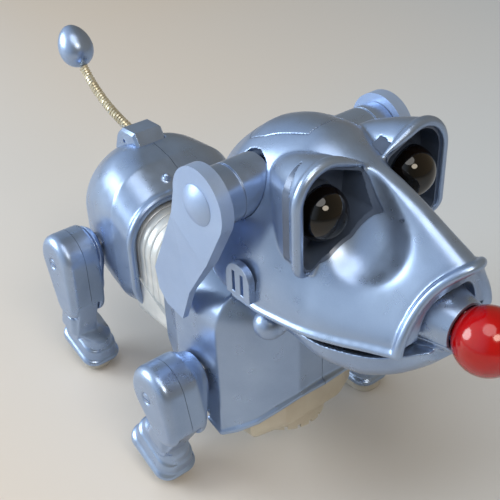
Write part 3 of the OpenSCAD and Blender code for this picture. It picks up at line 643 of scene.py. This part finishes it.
def slab(name, x0, x1, half_w, z0, z1, r):
    """Box along x with round corners."""
    ring = rounded_box(half_w, z0, z1, r)
    return skin(name, [np.column_stack([np.full(len(ring), x), ring]) for x in (x0, x1)])


def halves(name, body, nodes):
    """Moulds a housing whole and saws it along the mid-plane, which leaves a fine seam."""
    mould(body, 0.5, 9)
    for obj, side, node in ((body, -1, nodes[0]), (copied(body, "other"), 1, nodes[1])):
        far = sorted((side * SEAM_GAP, side * 200))
        shape(obj, "INTERSECT", block("half", (-300, far[0], -50), (300, far[1], 400)))
        obj.name = f"{name}_{'right' if side < 0 else 'left'}"
        stands_for(even_shade(obj, 50), node)


def hip_bores(kind):
    x, _, z = HIP[kind]
    return rod(kind + "_hips", x, z, -80, 80, 7.05)


def build_rear():
    """Rear housing with a rolled rim round its mouth, a small peg and the tail's mount."""
    body = housing("rear_body", REAR, REAR_CREASES)
    peg = tube("peg", [(-53, -9, 128), (-53, -9.4, 135.5), (-53, -9.4, 136.6)], [1.9, 1.8, 1.0], 20)
    ring = rounded_box(40.1, 60, 127.4, 23)
    rim = tube("rear_rim", [(MOUTH_X - 1, p[0], p[1]) for p in np.vstack([ring, ring[:2]])], RIM_R, 20)
    shell = mould(merged("rear", body, rim, peg), 0.6, 4)
    cuts = [housing("rear_inside", REAR, REAR_CREASES, BODY_WALL, 40),
            slab("rear_mouth", MOUTH_X - 6, MOUTH_X + 6, 37.9, 62.4, 125, 21),
            hip_bores("rear")]
    shape(shell, "DIFFERENCE", *cuts)
    mount = refined("tail_mount", 0.7)
    shape(mount, "DIFFERENCE", rod("pin_end", TAIL_ROOT.x, TAIL_ROOT.z, -12, -8.6, 1.1, 32))
    shape(shell, "DIFFERENCE", mount, keep=True)
    stands_for(mount, "tail_mount")
    halves("rear_housing", shell, ("rear_shell_right", "rear_shell_left"))


def build_waist():
    """Bellows: shallow folds, each a smooth swell with a fine groove between, and a plain skirt below."""
    back, front, folds = MOUTH_X - 4, -12, 7
    xs = np.linspace(back, front, 281)
    rings = []
    for x in xs:
        share = (x - back) / (front - back)
        fold = abs(math.sin(math.pi * folds * share))
        swell = 0.7 * fold ** 0.25
        ring = rounded_box(36.6 + swell, 62.6, 123 - 4.5 * share + swell, 20)
        rings.append(np.column_stack([np.full(len(ring), x), ring]))
    bellows = skin("bellows", rings)
    room = slab("waist_room", MOUTH_X - 8, 0, 34.6, 65, 115, 18)
    shape(bellows, "DIFFERENCE", room)
    skirt = slab("skirt", back, front, 38, 58.5, 100, 9)
    ends = []
    for x in (MOUTH_X - 20, 10):
        edge_z = 85.5 - 0.53 * (x - MOUTH_X)
        ends.append([(x, -60, edge_z), (x, 60, edge_z), (x, 60, 140), (x, -60, 140)])
    lid = skin("lid", ends)
    shape(skirt, "DIFFERENCE", lid, slab("skirt_room", MOUTH_X - 8, 0, 35, 62, 130, 13))
    waist = shape(bellows, "UNION", skirt)
    stands_for(even_shade(waist, 35), "waist_bellows").name = "waist_folds"


def build_chest():
    """Chest housing with a raised hem along its lower front edge."""
    body = housing("chest", CHEST, CHEST_CREASES)
    hem_rows = [(24, -47.3, 40.4), (36, -46.8, 37.6), (42, -41.8, 41), (49, -34, 46.6),
                (54, -25.5, 52.8), (59, -14, 59.6), (60, 0, 60)]
    path = hem_rows + [(x, -y, z) for x, y, z in hem_rows[-2::-1]]
    hem = tube("hem", path, [0.8] + [LIP_R] * (len(path) - 2) + [0.8], 20)
    body = mould(merged("chest", body, hem), 0.6, 3)
    cuts = [housing("chest_inside", CHEST, CHEST_CREASES, BODY_WALL, 40),
            housing("pan_cut", PAN, PAN_CREASES),
            collar_prism("collar_cut", -2.2, 38),
            slab("waist_hole", -24, -10, 38.2, 54.7, 119, 19),
            hip_bores("front")]
    shape(body, "DIFFERENCE", *cuts)
    halves("chest_housing", body, ("chest_shell_right", "chest_shell_left"))


def build_pan():
    """Belly pan with a closed front, and a raised line round its side."""
    pan = housing("pan", PAN, PAN_CREASES, 0.2)
    line = [(row[0], -(row[1] + 0.1), 46 + 0.1 * row[0]) for row in creased(PAN, 30, PAN_CREASES)[2:]]
    cuts = [housing("pan_inside", PAN, PAN_CREASES, 0.2 + BODY_WALL, 40),
            block("pan_top", (-7, -24, 52), (47, 24, 72)),
            lathe("speaker_hole", [(0, 18), (30, 18)], (28, 0, 20), (0, 0, 1))]
    shape(pan, "DIFFERENCE", *cuts)
    bead = tube("bead", line, 0.7, 12)
    pan = merged("pan", pan, mirrored(bead, "bead_l"), bead)
    stands_for(mould(pan, 0.5, 4), "belly_pan").name = "belly_tray"


def collar_prism(name, z0, z1):
    """Bar with the neck collar's outline, tilted as the collar is."""
    ring = hull_outline([(x, y, 3) for x, y in COLLAR], 160)
    turn = Matrix.Rotation(math.radians(20), 3, "Y")
    at = Vector((EAR_X - 4, 0, 112))
    return skin(name, [[at + turn @ Vector((p[0], p[1], z)) for p in ring] for z in (z0, z1)])


# ---------------------------------------------------------------- tail
def tail_line(t, length=60):
    """Place of the tail's centre line at share t, from the root, before the tail's tilt."""
    b = 2 * (1 - t) * t
    return Vector((-(0.62 * b + 0.975 * t * t) * length, 0, (0.19 * t * t - 0.06 * b) * length))


def build_tail():
    """The close-wound wire itself, in place of the beaded rod, on a core and a pinned drum."""
    turn = Matrix.Rotation(math.radians(14), 3, "Y")
    r, wire, turns, count = 2.8, 0.95, 30, 1100
    across = Vector((0, 1, 0))
    path = []
    for i in range(count + 1):
        t = i / count
        way = Vector((-(0.62 * (2 - 4 * t) + 1.95 * t), 0, 0.38 * t - 0.06 * (2 - 4 * t))).normalized()
        up = way.cross(across)
        a = 2 * math.pi * turns * t
        out = math.cos(a) * across + math.sin(a) * up
        path.append(TAIL_ROOT + turn @ (tail_line(t) + (r - wire) * out))
    coil = tube("coil", path, wire, 6)
    core = tube("core", [TAIL_ROOT + turn @ tail_line(t) for t in np.linspace(0, 1, 40)], r - 1.4, 12)
    drum_profile = [(-3, 3.3), (-2.7, 3.6), (2.7, 3.6), (3, 3.3)]
    drum = lathe("drum", drum_profile, TAIL_ROOT, turn @ Vector((0, 0, 1)), 48)
    spring = merged("tail_coil", coil, core, drum)
    even_shade(spring, 50)
    stands_for(spring, "tail_spring")


# ---------------------------------------------------------------- legs
# A leg is made about its hip, with its outer face at y = -LEG_W and its parting line at y = -SEAM
LEG_W, HIP_R, KNEE_R, BOSS_R, SEAM = 22, 15.5, 11, 11.5, 9.68
KNEE_ROOM_R = 10.1
# Length and forward lean of the thigh, middle and half span of the room for the shin, offset of the foot,
# bend of the right knee at rest, and reach of the hip's boss
LEGS = {"rear": dict(length=26, lean=10, aim=(-8, 24), place=(0, 7.5), bend=16, boss=4.2),
        "front": dict(length=17, lean=30, aim=(-20, 28), place=(8, 2.5), bend=21, boss=7)}


def layered(name, layers, k):
    """Thigh-like solid: layers of (y, hip radius, knee radius, reach of the knee) from face to face."""
    rings = []
    for y, hip_r, knee_r, reach in layers:
        ring = hull_outline([(0, 0, hip_r), (k[0] * reach, k[1] * reach, knee_r)], 140)
        rings.append(np.column_stack([ring[:, 0], np.full(len(ring), y), ring[:, 1]]))
    return skin(name, rings)


def outer_layers():
    """Straight wall from the seam, then a quarter-round to the outer face."""
    depth = 5.5
    layers = [(2 - SEAM, HIP_R, KNEE_R, 1)]
    for a in np.linspace(0, math.pi / 2, 9):
        cut = depth * (1 - math.cos(a))
        layers.append((-LEG_W + depth * (1 - math.sin(a)), HIP_R - cut, KNEE_R - 0.75 * cut, 1))
    return layers


def inner_layers(boss):
    """Straight wall from the seam, then a cone that draws in to the boss at the hip."""
    layers = [(-SEAM - 2, HIP_R, KNEE_R, 1), (-2, HIP_R, KNEE_R, 1)]
    for y, hip_r in ((-1.2, HIP_R - 0.2), (0.6, HIP_R - 1.2), (boss - 0.6, BOSS_R + 0.7), (boss, BOSS_R)):
        drawn = (y + 1.5) / (boss + 1.5)
        layers.append((y, hip_r, KNEE_R + (BOSS_R - KNEE_R) * drawn, 1 - drawn))
    return layers


def upright(name, circles, y0, y1):
    """Bar across a leg, round the circles (x, z, radius)."""
    ring = hull_outline(circles, 96)
    return skin(name, [np.column_stack([ring[:, 0], np.full(96, y), ring[:, 1]]) for y in (y0, y1)])


def knee_room(k, aim):
    """Bars that fill the room which the shin sweeps through about the knee k."""
    bars = []
    for i, a in enumerate(np.linspace(-aim[1], aim[1], 9)):
        w = math.radians(aim[0] + a)
        end = (k[0] + 26 * math.sin(w), k[1] - 26 * math.cos(w), KNEE_ROOM_R)
        bars.append(upright(f"room{i}", [(*k, KNEE_ROOM_R), end], -17.6, -4.4))
    return bars


def foot_ring(z, place, grow, tilt=0.0):
    """Outline of a foot at height z; tilt raises its heel and lowers its toe."""
    r = 8.0
    cx, cy, half_x, half_y = 1 - place[0], place[1] - LEG_W / 2, 17 + grow, LEG_W / 2 + grow
    corners = [(cx + u * (half_x - r), cy + v * (half_y - r), r) for u in (-1, 1) for v in (-1, 1)]
    ring = hull_outline(corners, 160)
    return np.column_stack([ring, z - tilt * (ring[:, 0] - cx)])


def shin_rings(height, place):
    """Boot: a rolled rim round the foot, a stepped instep, then in to the ankle."""
    foot, ankle = 7 - height, -0.4 * place[0] - 0.5
    # Height over the sole, growth of the outline, tilt
    steps = [(0, -0.4, 0), (0.6, 0.5, 0), (2, 1.1, 0), (3.6, 1.1, 0.04), (5, 0.6, 0.06), (5.6, -0.5, 0.06),
             (9, -0.6, 0.08), (12.5, -1, 0.1), (13.2, -2.1, 0.1), (17.5, -2.8, 0.06), (18.2, -3.8, 0.06)]
    rings = [foot_ring(foot + rise, place, grow, tilt) for rise, grow, tilt in steps]
    for z, half_x, half_y in ((foot + 24.5, 8.5, 8.6), (-KNEE_R, 7.5, 9)):
        ring = hull_outline([(ankle + u * (half_x - 4), -LEG_W / 2 + v * (half_y - 4), 4)
                             for u in (-1, 1) for v in (-1, 1)], 160)
        rings.append(np.column_stack([ring, np.full(160, z)]))
    return rings


def build_thigh(spec, k):
    """Outer half with a screw in its face, and inner half with the hip shaft and the knee pin."""
    face = -LEG_W + 1.0
    outer = layered("outer", outer_layers(), k)
    cap = lathe("cap_hole", [(0, 3.5), (3, 3.5)], (-1, face, -1), (0, -1, 0), 48)
    shape(outer, "DIFFERENCE", cap, *knee_room(k, spec["aim"]))
    mould(outer, 0.45, 8)
    shape(outer, "INTERSECT", block("outer_half", (-80, -60, -80), (80, -SEAM - 0.12, 80)))
    screw = lathe("screw", [(-1, 2.9), (0.5, 2.9), (0.8, 2.5), (0.9, 1.6)], (-1, face, -1), (0, -1, 0), 48)
    shape(screw, "DIFFERENCE", block("slot", (-3.6, face - 3, -1.35), (1.6, face - 0.45, -0.65)))

    inner = layered("inner", inner_layers(spec["boss"]), k)
    shape(inner, "DIFFERENCE", *knee_room(k, spec["aim"]))
    mould(inner, 0.45, 8)
    shape(inner, "INTERSECT", block("inner_half", (-80, -SEAM + 0.12, -80), (80, 60, 80)))
    shaft, pin = rod("shaft", 0, 0, -1, 21, 4, 64), rod("pin", *k, -19.6, -1.6, 2.5, 64)
    return merged("thigh_outer", outer, screw), merged("thigh_inner", inner, shaft, pin)


def build_boot(height, place):
    """Shin boot and its sole, made at the knee."""
    boot = mould(skin("boot", shin_rings(height, place)), 0.45, 1)
    shape(boot, "DIFFERENCE", rod("knee_gap", 0, 0, -LEG_W - 8, 8, KNEE_R + 0.6))
    tongue = upright("tongue", [(0, 0, 9.5), (-0.5 * place[0], -0.45 * height, 8)], -17.3, -4.7)
    boot = mould(merged("shin", boot, tongue), 0.45, 1)
    shape(boot, "DIFFERENCE", rod("knee_bore", 0, 0, -LEG_W, 0, 2.55))
    mould(boot, 0.4, 5)
    sole = skin("sole", [foot_ring(-height, place, -2.6), foot_ring(0.9 - height, place, -1.7),
                         foot_ring(6.9 - height, place, -1.6)])
    return boot, mould(sole, 0.5, 2)


def build_leg(kind, side):
    spec = LEGS[kind]
    hip_x, hip_y, hip_z = HIP[kind]
    word = f"{kind}_{'right' if side < 0 else 'left'}"
    lean, rest_bend = math.radians(spec["lean"]), math.radians(spec["bend"])
    k = (spec["length"] * math.sin(lean), -spec["length"] * math.cos(lean))
    bend = rest_bend if side < 0 else 0.0
    place = spec["place"]
    height = (hip_z + k[1] - (18 - place[0]) * math.sin(rest_bend)) / math.cos(rest_bend)
    outer, inner = build_thigh(spec, k)
    boot, sole = build_boot(height, place)

    thigh_at = Matrix.Translation(Vector((hip_x, hip_y + LEG_W / 2, hip_z)) * MM)
    shin_at = thigh_at @ Matrix.Translation(Vector((k[0], 0, k[1])) * MM) @ Matrix.Rotation(bend, 4, "Y")
    for obj, where, node in ((outer, thigh_at, "thigh_outer"), (inner, thigh_at, "thigh_inner"),
                             (boot, shin_at, "shin"), (sole, shin_at, "sole")):
        obj.data.transform(where)
        if side > 0:
            flipped(obj)
        obj.name = f"{node}_{word}_form"
        stands_for(even_shade(obj, 50), f"{node}_{word}")


# ---------------------------------------------------------------- materials
def colour(r, g, b):
    """A colour read off a screen, as the shader wants it."""
    return tuple(((c + 0.055) / 1.055) ** 2.4 if c > 0.04045 else c / 12.92 for c in (r, g, b)) + (1,)


class Shader:
    """A material with one Principled shader and the nodes that feed it."""

    def __init__(self, name):
        self.mat = bpy.data.materials.new(name)
        self.mat.use_nodes = True
        self.tree = self.mat.node_tree
        self.bsdf = self.tree.nodes["Principled BSDF"]
        self.place = self.new("ShaderNodeTexCoord").outputs["Object"]

    def new(self, kind, **values):
        node = self.tree.nodes.new(kind)
        for k, v in values.items():
            if hasattr(node, k):
                setattr(node, k, v)
            else:
                node.inputs[k.replace("_", " ")].default_value = v
        return node

    def link(self, a, b):
        self.tree.links.new(a, b)

    def set(self, **values):
        for k, v in values.items():
            self.bsdf.inputs[k.replace("_", " ")].default_value = v
        return self

    def noise(self, scale, detail=3.0, rough=0.5):
        n = self.new("ShaderNodeTexNoise", Scale=scale, Detail=detail, Roughness=rough)
        self.link(self.place, n.inputs["Vector"])
        return n.outputs["Fac"]

    def mix(self, a, b, share):
        n = self.new("ShaderNodeMix")
        n.data_type = "RGBA"
        for index, v in ((0, share), (6, a), (7, b)):
            if isinstance(v, (int, float, tuple)):
                n.inputs[index].default_value = v
            else:
                self.link(v, n.inputs[index])
        return n.outputs[2]

    def span(self, value, low_to, high_to, low_from=0.35, high_from=0.65):
        n = self.new("ShaderNodeMapRange", From_Min=low_from, From_Max=high_from,
                     To_Min=low_to, To_Max=high_to)
        self.link(value, n.inputs["Value"])
        return n.outputs["Result"]

    def bump(self, value, depth, strength):
        n = self.new("ShaderNodeBump", Strength=strength, Distance=depth * MM)
        self.link(value, n.inputs["Height"])
        self.link(n.outputs["Normal"], self.bsdf.inputs["Normal"])

    def feed(self, socket, value):
        self.link(value, self.bsdf.inputs[socket])


def metallic_paint(name, pale, deep, metallic, rough=(0.27, 0.37)):
    """Sprayed satin metallic: fine flake, faint mottling, a few dark specks of dust and a slight grain."""
    s = Shader(name).set(Metallic=metallic, Coat_Weight=0.12, Coat_Roughness=0.25)
    mottle = s.noise(38, 4)
    flake = s.noise(5200, 2, 0.7)
    base = s.mix(deep, pale, s.span(mottle, 0.2, 1.0))
    base = s.mix(base, tuple(min(1, c * 1.22) for c in pale[:3]) + (1,), s.span(flake, 0, 0.55, 0.45, 0.75))
    specks = s.new("ShaderNodeTexVoronoi", Scale=46.0)
    s.link(s.place, specks.inputs["Vector"])
    rare = s.noise(90, 2)
    dot = s.new("ShaderNodeMath", operation="LESS_THAN")
    s.link(specks.outputs["Distance"], dot.inputs[0])
    dot.inputs[1].default_value = 0.01
    few = s.new("ShaderNodeMath", operation="MULTIPLY")
    s.link(dot.outputs[0], few.inputs[0])
    s.link(s.span(rare, 0, 0.6, 0.5, 0.56), few.inputs[1])
    s.feed("Base Color", s.mix(base, (0.03, 0.03, 0.035, 1), few.outputs[0]))
    s.feed("Roughness", s.span(s.noise(120, 3), *rough))
    s.bump(s.noise(1500, 2), 0.02, 0.12)
    return s.mat


def plastic(name, pale, deep, rough=(0.35, 0.5), **more):
    """Moulded plastic: faint cloudiness and a fine moulded grain."""
    s = Shader(name).set(**more)
    s.feed("Base Color", s.mix(deep, pale, s.span(s.noise(45, 4), 0, 1)))
    s.feed("Roughness", s.span(s.noise(160, 3), *rough))
    s.bump(s.noise(900, 3), 0.03, 0.25)
    return s.mat


def pearl(name, pale, deep):
    """Pearl plastic of the waist."""
    s = Shader(name).set(Metallic=0.35, Coat_Weight=0.2, Coat_Roughness=0.3)
    s.feed("Base Color", s.mix(pale, deep, s.span(s.noise(60, 4), 0, 1)))
    s.feed("Roughness", s.span(s.noise(200, 3), 0.3, 0.4))
    s.bump(s.noise(700, 3), 0.03, 0.2)
    return s.mat


def metal(name, pale, deep):
    """Turned or drawn bare metal."""
    s = Shader(name).set(Metallic=1.0)
    s.feed("Base Color", s.mix(deep, pale, s.span(s.noise(300, 4), 0, 1)))
    s.feed("Roughness", s.span(s.noise(500, 3), 0.25, 0.4))
    s.bump(s.noise(2500, 2), 0.01, 0.15)
    return s.mat


def red_gloss(name):
    """Glossy red plastic of the nose, a little uneven."""
    deep, bright = colour(0.58, 0.01, 0.02), colour(0.7, 0.02, 0.03)
    s = Shader(name).set(Coat_Weight=0.3, Coat_Roughness=0.04)
    s.feed("Base Color", s.mix(deep, bright, s.span(s.noise(60, 3), 0, 1)))
    s.feed("Roughness", s.span(s.noise(90, 3), 0.1, 0.18))
    s.bump(s.noise(260, 2), 0.03, 0.12)
    return s.mat


def dark_lens(name):
    """Very dark brown polished dome."""
    dark, brown = colour(0.02, 0.018, 0.015), colour(0.07, 0.045, 0.025)
    s = Shader(name).set(Coat_Weight=0.35, Coat_Roughness=0.02, Specular_IOR_Level=0.35)
    s.feed("Base Color", s.mix(dark, brown, s.span(s.noise(70, 2), 0, 1)))
    s.feed("Roughness", s.span(s.noise(140, 2), 0.05, 0.1))
    s.bump(s.noise(400, 2), 0.008, 0.1)
    return s.mat


FINISH = {
    "silver_blue": metallic_paint("silver_blue_paint", colour(0.61, 0.69, 0.81), colour(0.54, 0.62, 0.75),
                                  0.8),
    "ear_plastic": metallic_paint("ear_paint", colour(0.64, 0.73, 0.87), colour(0.59, 0.68, 0.83),
                                  0.5, (0.38, 0.46)),
    "pearl_plastic": pearl("waist_pearl", colour(0.76, 0.78, 0.79), colour(0.86, 0.87, 0.87)),
    "cream_plastic": plastic("cream_moulding", colour(0.80, 0.78, 0.72), colour(0.74, 0.71, 0.65)),
    "cream_sole": plastic("sole_rubber", colour(0.74, 0.73, 0.70), colour(0.66, 0.65, 0.62), (0.55, 0.7)),
    "spring_steel": plastic("spring_wire", colour(0.88, 0.86, 0.78), colour(0.76, 0.73, 0.64),
                            (0.25, 0.36), Metallic=0.6),
    "steel": metal("turned_steel", colour(0.72, 0.72, 0.72), colour(0.6, 0.6, 0.6)),
    "motor_can": metal("motor_can", colour(0.66, 0.66, 0.68), colour(0.56, 0.56, 0.58)),
    "red_gloss": red_gloss("nose_red"),
    "slate_plastic": plastic("slate_moulding", colour(0.36, 0.42, 0.52), colour(0.29, 0.34, 0.43), (0.3, 0.4),
                             Coat_Weight=0.2, Metallic=0.3),
    "dark_plastic": plastic("dark_moulding", colour(0.16, 0.16, 0.17), colour(0.11, 0.11, 0.12)),
    "dark_lens": dark_lens("lens_dark"),
    "cell_wrap": plastic("cell_sleeve", colour(0.3, 0.3, 0.33), colour(0.24, 0.24, 0.27), (0.3, 0.4)),
    "board_green": plastic("solder_mask", colour(0.1, 0.36, 0.2), colour(0.07, 0.28, 0.15), (0.35, 0.5)),
}


# ---------------------------------------------------------------- pieces
build_head()
build_flaps()
build_jaw()
build_rear()
build_waist()
build_chest()
build_pan()
build_tail()
for leg_kind in LEGS:
    for leg_side in (-1, 1):
        build_leg(leg_kind, leg_side)

KEPT = ["speaker_grille", "battery_door", "neck_collar", "neck_post", "power_switch",
        "head_base", "snout_cone", "cheek_vent_right", "cheek_vent_left",
        "ear_post_right", "ear_post_left", "ear_cap_right", "ear_cap_left",
        "tail_tip", "eye_lens_right", "eye_lens_left", "nose_ball"]
for kept in KEPT:
    stands_for(refined(kept, 0.4), kept)

for finished in PIECES:
    finished.data.materials.clear()
    finished.data.materials.append(FINISH[finished["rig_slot"]])
for name, node_obj in NODES.items():
    node_obj.data.materials.clear()
    node_obj.data.materials.append(FINISH[SLOT_OF[name]])


# ---------------------------------------------------------------- set
def set_floor():
    reach = 6.0
    corners = [(-reach, -reach, 0), (reach, -reach, 0), (reach, reach, 0), (-reach, reach, 0)]
    mesh = bpy.data.meshes.new("floor")
    mesh.from_pydata(corners, [], [(0, 1, 2, 3)])
    floor = placed("floor", mesh)
    s = Shader("floor_paper").set(Roughness=0.55, Specular_IOR_Level=0.3)
    cool, warm = colour(0.79, 0.81, 0.83), colour(0.84, 0.80, 0.755)
    s.feed("Base Color", s.mix(cool, warm, s.span(s.noise(1.1, 1), 0, 1)))
    mesh.materials.append(s.mat)


def set_world():
    """Dim warm room with a cool bright window wall on the dog's right."""
    world = bpy.data.worlds.new("room")
    bpy.context.scene.world = world
    world.use_nodes = True
    tree = world.node_tree
    place = tree.nodes.new("ShaderNodeTexCoord").outputs["Generated"]
    facing = tree.nodes.new("ShaderNodeVectorMath")
    facing.operation = "DOT_PRODUCT"
    tree.links.new(place, facing.inputs[0])
    facing.inputs[1].default_value = Vector((-0.62, -0.74, 0.26)).normalized()
    shift = tree.nodes.new("ShaderNodeMath")
    shift.operation = "MULTIPLY_ADD"
    shift.inputs[1].default_value, shift.inputs[2].default_value = 0.5, 0.5
    tree.links.new(facing.outputs["Value"], shift.inputs[0])
    ramp = tree.nodes.new("ShaderNodeValToRGB")
    stops = [(0.0, (0.34, 0.28, 0.20)), (0.42, (0.22, 0.185, 0.135)), (0.62, (0.20, 0.19, 0.155)),
             (0.8, (0.50, 0.59, 0.70)), (1.0, (0.95, 1.0, 1.0))]
    marks = ramp.color_ramp.elements
    while len(marks) < len(stops):
        marks.new(0.5)
    for mark, (at, c) in zip(marks, stops):
        mark.position, mark.color = at, (*c, 1)
    tree.links.new(shift.outputs[0], ramp.inputs["Fac"])
    tree.links.new(ramp.outputs["Color"], tree.nodes["Background"].inputs["Color"])
    tree.nodes["Background"].inputs["Strength"].default_value = 1.0


def lamp(name, place, size, power, tint):
    """Soft oval lamp that looks at the dog; places and sizes in metres."""
    data = bpy.data.lights.new(name, "AREA")
    data.shape, data.size, data.size_y = "ELLIPSE", size[0], size[1]
    data.energy, data.color = power, tint
    obj = placed(name, data)
    obj.location = place
    obj.rotation_mode = "QUATERNION"
    obj.rotation_quaternion = (Vector((0, 0, 0.1)) - Vector(place)).to_track_quat("-Z", "Y")


def set_camera():
    """The photograph's view, fitted to the dog's own landmarks."""
    place, aim, roll = Vector((310.2, -237.0, 366.9)) * MM, Vector((22.6, -14.1, 126.9)) * MM, -0.04
    data = bpy.data.cameras.new("view")
    data.sensor_width, data.lens = 36, 65.5
    cam = placed("view", data)
    ahead = (aim - place).normalized()
    right = ahead.cross(Vector((0, 0, 1))).normalized()
    up = right.cross(ahead)
    c, s = math.cos(roll), math.sin(roll)
    right, up = c * right + s * up, -s * right + c * up
    cam.matrix_world = Matrix.Translation(place) @ Matrix((right, up, -ahead)).transposed().to_4x4()
    data.clip_start, data.clip_end = 0.01, 20
    bpy.context.scene.camera = cam


set_floor()
set_world()
lamp("window", (-0.95, -0.95, 0.65), (1.0, 0.8), 14.5, (0.9, 0.96, 1.0))
lamp("ceiling", (0.35, -0.35, 1.5), (1.0, 1.0), 7, (1.0, 0.98, 0.96))
lamp("warm_side", (0.9, -0.25, 1.0), (0.5, 0.4), 4.5, (1.0, 0.88, 0.72))
set_camera()

bpy.context.scene.view_settings.view_transform = "Standard"
